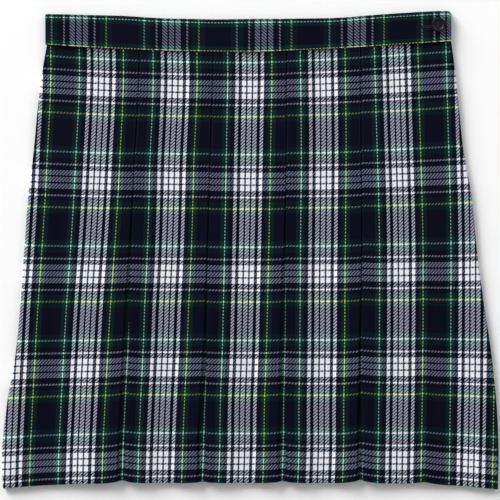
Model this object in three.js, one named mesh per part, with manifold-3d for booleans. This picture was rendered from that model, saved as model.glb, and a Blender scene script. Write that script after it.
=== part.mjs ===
// A box pleat skirt that lies flat on its back, front up, waistband at +Y.
// Millimetres, +Z up, the floor at z = 0, +X to the right of someone looking down at it.
// The front and back are one wall of cloth each, folded into four inverted box pleats.
// A wall is worked out as one section for each row from waist to hem, and the rows are joined.
import * as THREE from "three";
import Module from "manifold-3d";
import { mergeVertices } from "three/addons/utils/BufferGeometryUtils.js";

// Driving dimensions.
const CLOTH = 1.0; // thickness of one layer of the skirt's cloth
const LAYER_GAP = 0.3; // air between layers that lie on each other, and at a seam
const SKIRT_LENGTH = 431; // waist seam to hem, along the middle
const SEAM_Y = 198.3; // the waist seam at the middle
const PLEAT_DEPTH = 18.45; // from a pleat's line to its hidden fold, where the pleat is closed
const DEPTH_FOR_OPENING = 0.3; // how much further the hidden fold lies for each mm of opening
const DIP_WIDTH = 8; // over this width the front drops off a pleat's layers
const BAND = { wall: 2.2, middleHeight: 32.8, endHeight: 30.6, hollow: 3.6, stations: 14 };
const UNDERLAP = { length: 30, gap: 0.6, fromEnd: 1 }; // the band's end under the button
const BAND_SAG = { x: 78, halfWidth: 75, depth: 1.4 }; // the band's top edge sags a little here
const BAND_END = { drop: 1.1, bend: 14 }; // the button pulls the front's end down to the underlap
const BUTTON = { x: 187.8, y: 225.3, diameter: 14, height: 3, holeDiameter: 1.6, holePitch: 3.2 };
const ZIP = { start: 10, length: 150, tapeWidth: 11, sliderLength: 8, sliderWidth: 5.5 };

// Each row of the skirt: how far down it is, its two side edges, and each pleat's line and opening.
const ROWS = [
  { down: 0.0, left: -203.7, right: 201.1, pleats: [-111.1, -37.2, 36.5, 110.7], open: [0.3, 0.3, 0.3, 0.3] },
  { down: 0.06, left: -207.3, right: 204.9, pleats: [-111.3, -37.5, 36.4, 110.8], open: [0.3, 0.3, 0.3, 0.3] },
  { down: 0.14, left: -211.8, right: 208.6, pleats: [-112.9, -38.7, 36.1, 110.8], open: [0.3, 0.3, 0.3, 0.3] },
  { down: 0.24, left: -216.4, right: 213.3, pleats: [-115.7, -40.1, 35.7, 111.1], open: [0.3, 0.3, 0.3, 0.3] },
  { down: 0.34, left: -222.3, right: 221.2, pleats: [-117.7, -41.3, 35.3, 111.5], open: [0.9, 0.4, 0.6, 0.5] },
  { down: 0.46, left: -226.3, right: 226.7, pleats: [-120.3, -42.8, 34.5, 111.5], open: [2.0, 1.0, 2.2, 0.8] },
  { down: 0.58, left: -230.1, right: 233.6, pleats: [-122.9, -44.1, 33.4, 110.7], open: [3.6, 1.8, 4.0, 1.1] },
  { down: 0.7, left: -235.3, right: 241.6, pleats: [-124.4, -45.3, 32.7, 109.8], open: [5.8, 3.0, 5.0, 1.5] },
  { down: 0.82, left: -244.3, right: 246.9, pleats: [-126.3, -47.3, 32.3, 109.5], open: [6.8, 5.6, 6.2, 2.8] },
  { down: 0.92, left: -248.6, right: 248.6, pleats: [-127.7, -48.1, 32.5, 109.7], open: [7.7, 9.2, 8.6, 4.6] },
  { down: 1.0, left: -247.8, right: 247.9, pleats: [-128.3, -47.7, 32.6, 110.1], open: [8.2, 8.6, 8.6, 5.4] },
];
// How far a row's two ends lie above (+) or below its middle at the waist and at the hem, and how
// late along the row the bend comes.
const BEND = {
  left: { waist: 7.3, hem: -5.7, waistPower: 2.0, hemPower: 4.6 },
  right: { waist: 10.8, hem: -6.6, waistPower: 1.35, hemPower: 4.6 },
};
// The hem lifts a little in a soft peak at each pleat, and once in the right side panel.
const PEAKS = [
  { pleat: 0, lift: 3.0 },
  { pleat: 1, lift: 1.3 },
  { pleat: 2, lift: 1.9 },
  { pleat: 3, lift: 3.4 },
  { at: 174, lift: 2.4 },
];
const PEAK_HALF_WIDTH = 24;

// Levels, as the middle of each layer of a closed pleat, from the hidden panel up to the face.
const STEP = CLOTH + LAYER_GAP;
const STACK = 6 * CLOTH + 5 * LAYER_GAP; // three layers of the back and three of the front
const FACE = STACK - CLOTH / 2;
const RETURN = FACE - STEP;
const UNDERLAY = RETURN - STEP;
const SEAM_LEVEL = STACK / 2 + LAYER_GAP / 2; // the front's side edge ends here, over the back's
const DIPPED = SEAM_LEVEL + 1.5; // the face's level where only two layers lie on each other
const FOLD_RADIUS = STEP / 2;
const FOLD_OUTER = FOLD_RADIUS + CLOTH / 2;

const degrees = Math.PI / 180;
const mix = (a, b, share) => a + (b - a) * share;

// A point of a section: its place, and the direction from the wall's middle to its side A.
const place = (x, z, nx, nz) => ({ x, z, nx, nz });

// A fold as an arc. side is 1 where side A is the outside of the fold and -1 where it is the inside.
function arc(x, z, radius, from, to, steps, side) {
  const points = [];
  for (let i = 0; i <= steps; i += 1) {
    const angle = mix(from, to, i / steps) * degrees;
    const [c, s] = [Math.cos(angle), Math.sin(angle)];
    points.push(place(x + radius * c, z + radius * s, side * c, side * s));
  }
  return points;
}

// The y of a row at x: the row's middle, with the bend of its ends and the pleats' soft peaks.
function rowY(row, x) {
  const middle = (row.left + row.right) / 2;
  const side = x < middle ? BEND.left : BEND.right;
  const share = Math.min(1, Math.abs((x - middle) / ((row.right - row.left) / 2)));
  const power = mix(side.waistPower, side.hemPower, row.down);
  const bend = mix(side.waist, side.hem, row.down) * share ** power;
  let lift = 0;
  for (const peak of PEAKS) {
    const at = peak.at ?? row.pleats[peak.pleat];
    const away = Math.abs(x - at) / PEAK_HALF_WIDTH;
    if (away < 1) lift += peak.lift * row.down ** 2 * (1 - away) ** 2;
  }
  return SEAM_Y - SKIRT_LENGTH * row.down + bend + lift;
}

// Points of the face between two places, down from the pleat at each end to the level between them.
function facePoints(from, to, level, dipsAtStart, dipsAtEnd, stations) {
  const points = [];
  const low = dipsAtStart ? from + DIP_WIDTH : from;
  const high = dipsAtEnd ? to - DIP_WIDTH : to;
  if (dipsAtStart) points.push(place(from, FACE, 0, 1), place(from + DIP_WIDTH / 2, (FACE + level) / 2, 0, 1));
  for (let i = 0; i <= stations; i += 1) points.push(place(mix(low, high, i / stations), level, 0, 1));
  if (dipsAtEnd) points.push(place(to - DIP_WIDTH / 2, (FACE + level) / 2, 0, 1), place(to, FACE, 0, 1));
  return points;
}

// One row of a pleated panel from its left side edge to its right one. level is the height of the
// face between the pleats.
function panelSection(row, level) {
  const edgeRadius = level - SEAM_LEVEL;
  const edge = edgeRadius + CLOTH / 2;
  const reach = row.open.map((opening) => PLEAT_DEPTH + DEPTH_FOR_OPENING * opening);
  const section = arc(row.left + edge, SEAM_LEVEL, edgeRadius, 180, 90, 4, 1);
  let from = row.left + edge;
  row.pleats.forEach((line, k) => {
    const [foldLeft, foldRight] = [line - row.open[k] / 2, line + row.open[k] / 2];
    const [hiddenLeft, hiddenRight] = [line - reach[k], line + reach[k]];
    const isFirst = k === 0;
    section.push(...facePoints(from, hiddenLeft, level, !isFirst, true, isFirst ? 4 : 1).slice(isFirst ? 1 : 0));
    section.push(...arc(foldLeft - FOLD_OUTER, RETURN + FOLD_RADIUS, FOLD_RADIUS, 90, -90, 3, 1));
    section.push(...arc(hiddenLeft + FOLD_OUTER, UNDERLAY + FOLD_RADIUS, FOLD_RADIUS, 90, 270, 3, -1));
    section.push(place(line, UNDERLAY, 0, 1));
    section.push(...arc(hiddenRight - FOLD_OUTER, UNDERLAY + FOLD_RADIUS, FOLD_RADIUS, -90, 90, 3, -1));
    section.push(...arc(foldRight + FOLD_OUTER, RETURN + FOLD_RADIUS, FOLD_RADIUS, 270, 90, 3, 1));
    from = hiddenRight;
  });
  section.push(...facePoints(from, row.right - edge, level, true, false, 5).slice(0, -1));
  section.push(...arc(row.right - edge, SEAM_LEVEL, edgeRadius, 90, 0, 4, 1));
  return section;
}

// Joins rows of section points into one closed wall. Each row is { points, y, wall }, where y gives
// the height at x and wall is the thickness. mirror turns the section over about that height.
function wallGeometry(rows, mirror = null) {
  const count = rows[0].points.length;
  const vertices = [];
  for (const { points, y, wall } of rows) {
    for (const side of [1, -1]) {
      for (const p of points) {
        const z = p.z + (side * wall * p.nz) / 2;
        vertices.push(p.x + (side * wall * p.nx) / 2, y(p.x), mirror === null ? z : mirror - z);
      }
    }
  }
  const at = (row, side, i) => (row * 2 + side) * count + i;
  const faces = [];
  const quad = (a, b, c, d) => faces.push(...(mirror === null ? [a, b, c, a, c, d] : [c, b, a, d, c, a]));
  for (let r = 0; r + 1 < rows.length; r += 1) {
    for (let i = 0; i + 1 < count; i += 1) {
      quad(at(r, 0, i), at(r + 1, 0, i), at(r + 1, 0, i + 1), at(r, 0, i + 1));
      quad(at(r, 1, i), at(r, 1, i + 1), at(r + 1, 1, i + 1), at(r + 1, 1, i));
    }
    const last = count - 1;
    quad(at(r, 0, 0), at(r, 1, 0), at(r + 1, 1, 0), at(r + 1, 0, 0));
    quad(at(r, 0, last), at(r + 1, 0, last), at(r + 1, 1, last), at(r, 1, last));
  }
  const end = rows.length - 1;
  for (let i = 0; i + 1 < count; i += 1) {
    quad(at(0, 0, i), at(0, 0, i + 1), at(0, 1, i + 1), at(0, 1, i));
    quad(at(end, 0, i), at(end, 1, i), at(end, 1, i + 1), at(end, 0, i + 1));
  }
  const geometry = new THREE.BufferGeometry();
  geometry.setAttribute("position", new THREE.Float32BufferAttribute(vertices, 3));
  geometry.setIndex(faces);
  geometry.computeVertexNormals();
  return geometry;
}

// The front's face dips between the pleats; the back's lies flat on the floor.
function skirtFront() {
  const rows = ROWS.map((row) => ({ points: panelSection(row, DIPPED), y: (x) => rowY(row, x), wall: CLOTH }));
  return wallGeometry(rows);
}

function skirtBack() {
  const rows = ROWS.map((row) => ({ points: panelSection(row, FACE), y: (x) => rowY(row, x), wall: CLOTH }));
  return wallGeometry(rows, STACK);
}

// The waistband is one wall that goes from the underlap's end round the right side fold, along the
// back, round the left side fold and along the front to its own end, over the underlap.
const BACK_LEVEL = BAND.wall / 2;
const TAB_LEVEL = BACK_LEVEL + BAND.wall + UNDERLAP.gap;
const FRONT_LEVEL = BACK_LEVEL + BAND.wall + BAND.hollow;

// The front band's level at x, counted from its right end.
function bandFrontLevel(x) {
  const share = THREE.MathUtils.clamp(1 - (ROWS[0].right - x) / BAND_END.bend, 0, 1);
  return FRONT_LEVEL - BAND_END.drop * share ** 2;
}

function bandSection() {
  const { left, right } = ROWS[0];
  const leftRadius = (FRONT_LEVEL - BACK_LEVEL) / 2;
  const rightRadius = (TAB_LEVEL - BACK_LEVEL) / 2;
  const leftCentre = left + leftRadius + BAND.wall / 2;
  const rightCentre = right - UNDERLAP.fromEnd - rightRadius - BAND.wall / 2;
  const { stations } = BAND;
  const section = [];
  for (let i = 0; i < 3; i += 1) {
    section.push(place(mix(right - UNDERLAP.length, rightCentre, i / 3), TAB_LEVEL, 0, 1));
  }
  section.push(...arc(rightCentre, (TAB_LEVEL + BACK_LEVEL) / 2, rightRadius, 90, -90, 5, 1));
  for (let i = 1; i < stations; i += 1) {
    section.push(place(mix(rightCentre, leftCentre, i / stations), BACK_LEVEL, 0, -1));
  }
  section.push(...arc(leftCentre, (FRONT_LEVEL + BACK_LEVEL) / 2, leftRadius, 270, 90, 7, 1));
  const bendStart = right - BAND_END.bend;
  for (let i = 1; i <= stations; i += 1) {
    section.push(place(mix(leftCentre, bendStart, i / stations), FRONT_LEVEL, 0, 1));
  }
  for (let i = 1; i <= 3; i += 1) {
    const x = mix(bendStart, right, i / 3);
    section.push(place(x, bandFrontLevel(x), 0, 1));
  }
  return section;
}

// The band's height at x: it is a little narrower towards its ends, as it curls there, and at its sag.
function bandHeight(x) {
  const share = x / ROWS[0].right;
  const fromSag = Math.min(1, Math.abs(x - BAND_SAG.x) / BAND_SAG.halfWidth);
  const sag = BAND_SAG.depth * (1 - fromSag ** 2) ** 2;
  return mix(BAND.middleHeight, BAND.endHeight, Math.min(1, share ** 2)) - sag;
}

function waistband() {
  const edges = [
    { up: 0, wall: BAND.wall - 0.5 },
    { up: 0.04, wall: BAND.wall },
    { up: 0.96, wall: BAND.wall },
    { up: 1, wall: BAND.wall - 1 },
  ];
  const points = bandSection();
  const bottom = (x) => rowY(ROWS[0], THREE.MathUtils.clamp(x, ROWS[0].left, ROWS[0].right)) + LAYER_GAP;
  const rows = edges.map(({ up, wall }) => ({ points, wall, y: (x) => bottom(x) + up * bandHeight(x) }));
  return wallGeometry(rows.reverse());
}

// A three.js geometry as a solid that can be cut. Only the positions are kept, so that its faces join.
function toSolid(wasm, geometry) {
  geometry.deleteAttribute("normal");
  geometry.deleteAttribute("uv");
  const merged = mergeVertices(geometry, 1e-4);
  const vertProperties = new Float32Array(merged.attributes.position.array);
  const triVerts = new Uint32Array(merged.index.array);
  return new wasm.Manifold(new wasm.Mesh({ numProp: 3, vertProperties, triVerts }));
}

function toGeometry(solid) {
  const mesh = solid.getMesh();
  const geometry = new THREE.BufferGeometry();
  geometry.setAttribute("position", new THREE.Float32BufferAttribute(mesh.vertProperties, 3));
  geometry.setIndex(new THREE.BufferAttribute(new Uint32Array(mesh.triVerts), 1));
  geometry.computeVertexNormals();
  return geometry;
}

// The button's half section from the middle of its back, round the rim, to the middle of its dish:
// how far in from the edge each point is, or the middle, and its height as a share of the whole.
const BUTTON_SECTION = [
  { middle: true, up: 0 },
  { in: 1.6, up: 0 },
  { in: 0.5, up: 0.2 },
  { in: 0, up: 0.5 },
  { in: 0.15, up: 0.83 },
  { in: 0.6, up: 1 },
  { in: 1.5, up: 0.97 },
  { in: 2.7, up: 0.7 },
  { middle: true, up: 0.67 },
];

// The button is a turned disc with a raised rim, a dished middle and four holes.
async function button() {
  const wasm = await Module();
  wasm.setup();
  const { diameter, height, holeDiameter, holePitch } = BUTTON;
  const section = BUTTON_SECTION.map((p) => new THREE.Vector2(p.middle ? 0 : diameter / 2 - p.in, p.up * height));
  let solid = toSolid(wasm, new THREE.LatheGeometry(section, 32).rotateX(Math.PI / 2));
  for (const sx of [-1, 1]) {
    for (const sy of [-1, 1]) {
      const hole = new THREE.CylinderGeometry(holeDiameter / 2, holeDiameter / 2, height * 2, 10);
      hole.rotateX(Math.PI / 2).translate((sx * holePitch) / 2, (sy * holePitch) / 2, height / 2);
      solid = solid.subtract(toSolid(wasm, hole));
    }
  }
  return toGeometry(solid);
}

// The row at any share of the length, for what is sewn in along the side seam.
function rowAt(down) {
  const next = Math.max(1, ROWS.findIndex((row) => row.down >= down));
  const [a, b] = [ROWS[next - 1], ROWS[next]];
  const share = (down - a.down) / (b.down - a.down);
  return { ...a, down, left: mix(a.left, b.left, share), right: mix(a.right, b.right, share) };
}

// The zip's two tapes, closed: a U of tape inside the right side seam, its coil at the fold.
const TAPE_TOP = SEAM_LEVEL + 0.2;
const TAPE_BOTTOM = CLOTH + LAYER_GAP + CLOTH / 2;
const TAPE_FROM_EDGE = 3.5; // from the side edge to the centre of the tapes' fold

function sideZip() {
  const stations = 5;
  const rows = [];
  for (let i = 0; i <= stations; i += 1) {
    const row = rowAt((ZIP.start + (ZIP.length * i) / stations) / SKIRT_LENGTH);
    const centre = row.right - TAPE_FROM_EDGE;
    const middle = (TAPE_TOP + TAPE_BOTTOM) / 2;
    const points = [
      place(centre - ZIP.tapeWidth, TAPE_TOP, 0, 1),
      ...arc(centre, middle, (TAPE_TOP - TAPE_BOTTOM) / 2, 90, -90, 4, 1),
      place(centre - ZIP.tapeWidth, TAPE_BOTTOM, 0, -1),
    ];
    rows.push({ points, y: (x) => rowY(row, x), wall: CLOTH });
  }
  return wallGeometry(rows);
}

// The slider's body, closed up against the waistband on top of the tapes' end.
function zipSlider() {
  const row = rowAt((ZIP.start - LAYER_GAP - ZIP.sliderLength / 2) / SKIRT_LENGTH);
  const right = row.right - TAPE_FROM_EDGE + 0.5;
  const [low, high] = [CLOTH + LAYER_GAP, DIPPED - CLOTH / 2 - LAYER_GAP];
  const corner = 1.2;
  const [w, l] = [ZIP.sliderWidth / 2, ZIP.sliderLength / 2];
  const outline = new THREE.Shape();
  outline.moveTo(-w + corner, -l);
  outline.lineTo(w - corner, -l);
  outline.quadraticCurveTo(w, -l, w, -l + corner);
  outline.lineTo(w, l - corner);
  outline.quadraticCurveTo(w, l, w - corner, l);
  outline.lineTo(-w + corner, l);
  outline.quadraticCurveTo(-w, l, -w, l - corner);
  outline.lineTo(-w, -l + corner);
  outline.quadraticCurveTo(-w, -l, -w + corner, -l);
  const geometry = new THREE.ExtrudeGeometry(outline, { depth: high - low, bevelEnabled: false, curveSegments: 2 });
  const x = right - w;
  return geometry.translate(x, rowY(row, x), low);
}

const group = new THREE.Group();

function add(name, geometry, color, roughness, metalness = 0) {
  const mesh = new THREE.Mesh(geometry, new THREE.MeshStandardMaterial({ color, roughness, metalness }));
  mesh.name = name;
  group.add(mesh);
  return mesh;
}

const TARTAN = 0x1c2a33;
add("waistband", waistband(), TARTAN, 0.85);
add("skirt_front", skirtFront(), TARTAN, 0.85);
add("skirt_back", skirtBack(), TARTAN, 0.85);
add("side_zip", sideZip(), 0x14161f, 0.8);
add("zip_slider", zipSlider(), 0x2a2c33, 0.4, 0.8);
const fastener = add("button", await button(), 0x0c0d14, 0.3);
fastener.position.set(BUTTON.x, BUTTON.y, bandFrontLevel(BUTTON.x) + BAND.wall / 2 + LAYER_GAP);

export default group;
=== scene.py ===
"""The looks of a tartan box pleat skirt that lies flat on its back, front up.

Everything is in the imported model's frame: +Z up, the floor at z = 0 and the waistband at +Y. Sizes are
in millimetres and places on the cloth are a share of the way down it, from 0 at the waist seam to 1 at
the hem. Meshes are made in metres.
"""
import logging
import math
from dataclasses import dataclass, field
from enum import Enum
from typing import Callable, Sequence

import bpy
import numpy as np
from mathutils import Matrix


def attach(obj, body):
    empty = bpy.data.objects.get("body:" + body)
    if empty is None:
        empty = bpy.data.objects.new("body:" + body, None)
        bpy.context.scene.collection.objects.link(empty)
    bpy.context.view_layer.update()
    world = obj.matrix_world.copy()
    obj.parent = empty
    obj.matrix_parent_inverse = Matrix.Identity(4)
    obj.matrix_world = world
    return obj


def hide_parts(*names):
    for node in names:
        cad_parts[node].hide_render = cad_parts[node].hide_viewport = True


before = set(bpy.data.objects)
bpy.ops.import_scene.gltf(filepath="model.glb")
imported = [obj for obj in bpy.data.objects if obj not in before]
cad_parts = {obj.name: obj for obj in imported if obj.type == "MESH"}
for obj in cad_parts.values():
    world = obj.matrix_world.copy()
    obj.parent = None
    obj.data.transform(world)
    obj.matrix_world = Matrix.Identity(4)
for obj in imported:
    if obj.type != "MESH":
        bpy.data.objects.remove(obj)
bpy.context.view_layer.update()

BODY = "root"
MM = 0.001
LOG = logging.getLogger("box_pleat_skirt")

Array = np.ndarray
Colour = tuple[float, float, float]


def srgb(red: int, green: int, blue: int) -> Colour:
    """Turns a colour as seen on a screen into the linear one that a shader takes.

    Args:
        red: Red, from 0 to 255.
        green: Green, from 0 to 255.
        blue: Blue, from 0 to 255.

    Returns:
        The three linear values.
    """
    values = [channel / 255 for channel in (red, green, blue)]
    linear = [v / 12.92 if v <= 0.04045 else ((v + 0.055) / 1.055) ** 2.4 for v in values]
    return (linear[0], linear[1], linear[2])


def soft_step(share: Array) -> Array:
    """Rises from 0 to 1 as share does, level at both ends."""
    held = np.clip(share, 0.0, 1.0)
    return held * held * (3 - 2 * held)


def soft_bump(distance: Array, half_width: float) -> Array:
    """A smooth bump, 1 at distance 0 and 0 from half_width on."""
    return 1 - soft_step(np.abs(distance) / half_width)


def blend(start: Array, end: Array, share: Array) -> Array:
    """The value that lies share of the way from start to end."""
    return start + (end - start) * share


def smooth_curve(at: Array, places: Sequence[float], values: Sequence[float]) -> Array:
    """Reads a table along a smooth curve through its rows.

    Args:
        at: Where the curve is read.
        places: The rows' places, rising.
        values: The rows' values.

    Returns:
        The curve's values, with the table's slope carried on past its ends.
    """
    x = np.asarray(places, float)
    y = np.asarray(values, float)
    slope = np.gradient(y, x)
    i = np.clip(np.searchsorted(x, at) - 1, 0, len(x) - 2)
    width = x[i + 1] - x[i]
    s = (at - x[i]) / width
    inside = (
        (1 + 2 * s) * (1 - s) ** 2 * y[i]
        + s * (1 - s) ** 2 * width * slope[i]
        + s * s * (3 - 2 * s) * y[i + 1]
        + s * s * (s - 1) * width * slope[i + 1]
    )
    beyond = np.where(s < 0, y[i] + (at - x[i]) * slope[i], y[i + 1] + (at - x[i + 1]) * slope[i + 1])
    return np.where((s < 0) | (s > 1), beyond, inside)


class Value:
    """One output of a shader node, with the sums that are written on it as Math nodes."""

    def __init__(self, paint: "Paint", socket: bpy.types.NodeSocket) -> None:
        """Keeps the output and the material that it belongs to."""
        self.paint = paint
        self.socket = socket

    def _sum(self, operation: str, *terms: "Value | float") -> "Value":
        """Adds a Math node and returns its result."""
        return self.paint.node("ShaderNodeMath", {"operation": operation}, dict(enumerate(terms)))

    def __add__(self, other: "Value | float") -> "Value":
        """The sum."""
        return self._sum("ADD", self, other)

    def __radd__(self, other: float) -> "Value":
        """The sum, with the number first."""
        return self._sum("ADD", other, self)

    def __sub__(self, other: "Value | float") -> "Value":
        """The difference."""
        return self._sum("SUBTRACT", self, other)

    def __rsub__(self, other: float) -> "Value":
        """The difference, with the number first."""
        return self._sum("SUBTRACT", other, self)

    def __mul__(self, other: "Value | float") -> "Value":
        """The product."""
        return self._sum("MULTIPLY", self, other)

    def __rmul__(self, other: float) -> "Value":
        """The product, with the number first."""
        return self._sum("MULTIPLY", other, self)

    def __truediv__(self, other: "Value | float") -> "Value":
        """The quotient."""
        return self._sum("DIVIDE", self, other)

    def __mod__(self, other: float) -> "Value":
        """The remainder, which is never negative."""
        return self._sum("FLOORED_MODULO", self, other)

    def __lt__(self, other: "Value | float") -> "Value":
        """1 where this is less than the other, else 0."""
        return self._sum("LESS_THAN", self, other)

    def floor(self) -> "Value":
        """The whole number below."""
        return self._sum("FLOOR", self)

    def sine(self) -> "Value":
        """The sine of this angle in radians."""
        return self._sum("SINE", self)

    def between(self, low: "Value | float", high: "Value | float") -> "Value":
        """The value this share of the way from low to high."""
        return low + (high - low) * self


@dataclass(frozen=True)
class Grain:
    """What a finish's grain does to its colour, its roughness and its surface.

    gain and lift make the paler colour that the grain mixes in. rough is the roughness without the
    grain and rougher what the grain adds. strength and height, in millimetres, are the bump's.
    """

    gain: float
    lift: float
    rough: float
    rougher: float
    strength: float
    height: float


class Paint:
    """A material under construction: its node tree, its shader and the nodes that feed it."""

    def __init__(self, name: str, roughness: float, specular: float) -> None:
        """Starts a material.

        Args:
            name: The material's name.
            roughness: The shader's roughness where nothing else feeds it.
            specular: The shader's specular level.
        """
        self.material = bpy.data.materials.new(name)
        self.material.use_nodes = True
        self.tree = self.material.node_tree
        self.shader = self.tree.nodes["Principled BSDF"]
        self.shader.inputs["Roughness"].default_value = roughness
        self.shader.inputs["Specular IOR Level"].default_value = specular

    def node(self, kind: str, settings: dict, sockets: dict, output: int | str = 0) -> Value:
        """Adds one node.

        Args:
            kind: The node's type.
            settings: Its properties, set before its sockets.
            sockets: A value or a link for each named or numbered socket.
            output: The output to read.

        Returns:
            That output.
        """
        made = self.tree.nodes.new(kind)
        for key, setting in settings.items():
            setattr(made, key, setting)
        for key, given in sockets.items():
            if isinstance(given, Value):
                self.tree.links.new(given.socket, made.inputs[key])
            else:
                made.inputs[key].default_value = given
        return Value(self, made.outputs[output])

    def feed(self, socket: str, given: Value) -> None:
        """Links an output to one of the shader's sockets."""
        self.tree.links.new(given.socket, self.shader.inputs[socket])

    def fix(self, socket: str, constant: float | Sequence[float]) -> None:
        """Sets one of the shader's sockets to a number or colour that is the same all over."""
        self.shader.inputs[socket].default_value = constant

    def object_place(self) -> Value:
        """The place on the piece, in metres."""
        return self.node("ShaderNodeTexCoord", {}, {}, "Object")

    def noise(self, place: Value, scale: float, detail: float = 2.0) -> Value:
        """A cloudy value from 0 to 1 over a place, with scale clouds to the metre."""
        sockets = {"Vector": place, "Scale": scale, "Detail": detail}
        return self.node("ShaderNodeTexNoise", {}, sockets, "Fac")

    def stretched(self, place: Value, scale: Sequence[float]) -> Value:
        """A place with each direction scaled on its own."""
        return self.node("ShaderNodeMapping", {}, {"Vector": place, "Scale": tuple(scale)}, "Vector")

    def part(self, place: Value, axis: str) -> Value:
        """One direction of a place."""
        return self.node("ShaderNodeSeparateXYZ", {}, {0: place}, axis)

    def chance(self, number: Value) -> Value:
        """A number's own random value, from 0 to 1."""
        return self.node("ShaderNodeTexWhiteNoise", {"noise_dimensions": "1D"}, {"W": number}, "Value")

    def colour_mix(self, share: Value | float, low: Value | Colour, high: Value | Colour,
                   how: str = "MIX") -> Value:
        """Mixes two colours.

        Args:
            share: How much of the second colour is laid on the first.
            low: The first colour.
            high: The second colour.
            how: The way that the second is laid on.

        Returns:
            The mixed colour.
        """
        made = self.tree.nodes.new("ShaderNodeMix")
        made.data_type = "RGBA"
        made.blend_type = how
        for socket, given in zip((made.inputs[0], made.inputs[6], made.inputs[7]), (share, low, high)):
            if isinstance(given, Value):
                self.tree.links.new(given.socket, socket)
            else:
                socket.default_value = (*given, 1.0) if isinstance(given, tuple) else given
        return Value(self, made.outputs[2])

    def ramp(self, at: Value, stops: Sequence[tuple[float, Colour]]) -> Value:
        """A colour ramp of flat steps.

        Args:
            at: Where the ramp is read, from 0 to 1.
            stops: Each step's start and colour, rising.

        Returns:
            The ramp's colour.
        """
        made = self.tree.nodes.new("ShaderNodeValToRGB")
        made.color_ramp.interpolation = "CONSTANT"
        elements = made.color_ramp.elements
        while len(elements) < len(stops):
            elements.new(1.0)
        for element, (start, colour) in zip(elements, stops):
            element.position = start
            element.color = (*colour, 1.0)
        self.tree.links.new(at.socket, made.inputs["Fac"])
        return Value(self, made.outputs["Color"])

    def bump(self, height: Value, strength: float, distance: float) -> None:
        """Lets a height tilt the shader's normal; distance is the height of 1, in metres."""
        sockets = {"Height": height, "Strength": strength, "Distance": distance}
        self.feed("Normal", self.node("ShaderNodeBump", {}, sockets, "Normal"))

    def grained(self, colour: Colour, grain: Grain, share: Value, rough: Value, height: Value) -> None:
        """Feeds the shader's colour, roughness and normal from a grain.

        Args:
            colour: The finish's own colour.
            grain: What the grain does.
            share: How pale it makes a place, from 0 to 1.
            rough: How rough it makes it.
            height: How high it stands there.
        """
        pale = tuple(min(1.0, channel * grain.gain + grain.lift) for channel in colour)
        self.feed("Base Color", self.colour_mix(share, colour, pale))
        self.feed("Roughness", grain.rough + grain.rougher * rough)
        self.bump(height, grain.strength, grain.height * MM)


class Yarn(Enum):
    """The dyed yarns of the tartan, with the colour of each as it lies in the cloth."""

    WHITE = srgb(236, 235, 244)
    LIGHT = srgb(196, 232, 228)
    YELLOW = srgb(210, 221, 106)
    GREEN = srgb(8, 43, 37)
    NAVY = srgb(6, 8, 25)
    BLACK = srgb(5, 9, 21)


@dataclass(frozen=True)
class Stripe:
    """One stripe of the tartan and how many yarns it has."""

    yarn: Yarn
    count: int


END_PITCH = 0.8296
PICK_PITCH = 0.8265
WARP = (
    Stripe(Yarn.LIGHT, 1),
    Stripe(Yarn.GREEN, 4),
    Stripe(Yarn.NAVY, 5),
    Stripe(Yarn.WHITE, 4),
    Stripe(Yarn.BLACK, 4),
    Stripe(Yarn.WHITE, 5),
    Stripe(Yarn.BLACK, 2),
    Stripe(Yarn.WHITE, 5),
    Stripe(Yarn.BLACK, 2),
    Stripe(Yarn.WHITE, 5),
    Stripe(Yarn.BLACK, 4),
    Stripe(Yarn.WHITE, 4),
    Stripe(Yarn.NAVY, 5),
    Stripe(Yarn.GREEN, 4),
    Stripe(Yarn.YELLOW, 1),
    Stripe(Yarn.GREEN, 5),
    Stripe(Yarn.NAVY, 24),
    Stripe(Yarn.GREEN, 5),
)
WEFT = (
    Stripe(Yarn.WHITE, 2),
    Stripe(Yarn.BLACK, 6),
    Stripe(Yarn.WHITE, 6),
    Stripe(Yarn.BLACK, 2),
    Stripe(Yarn.WHITE, 6),
    Stripe(Yarn.BLACK, 2),
    Stripe(Yarn.WHITE, 6),
    Stripe(Yarn.BLACK, 7),
    Stripe(Yarn.WHITE, 2),
    Stripe(Yarn.BLACK, 5),
    Stripe(Yarn.GREEN, 7),
    Stripe(Yarn.YELLOW, 2),
    Stripe(Yarn.GREEN, 6),
    Stripe(Yarn.NAVY, 32),
    Stripe(Yarn.GREEN, 6),
    Stripe(Yarn.LIGHT, 2),
    Stripe(Yarn.GREEN, 7),
    Stripe(Yarn.BLACK, 6),
)


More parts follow.
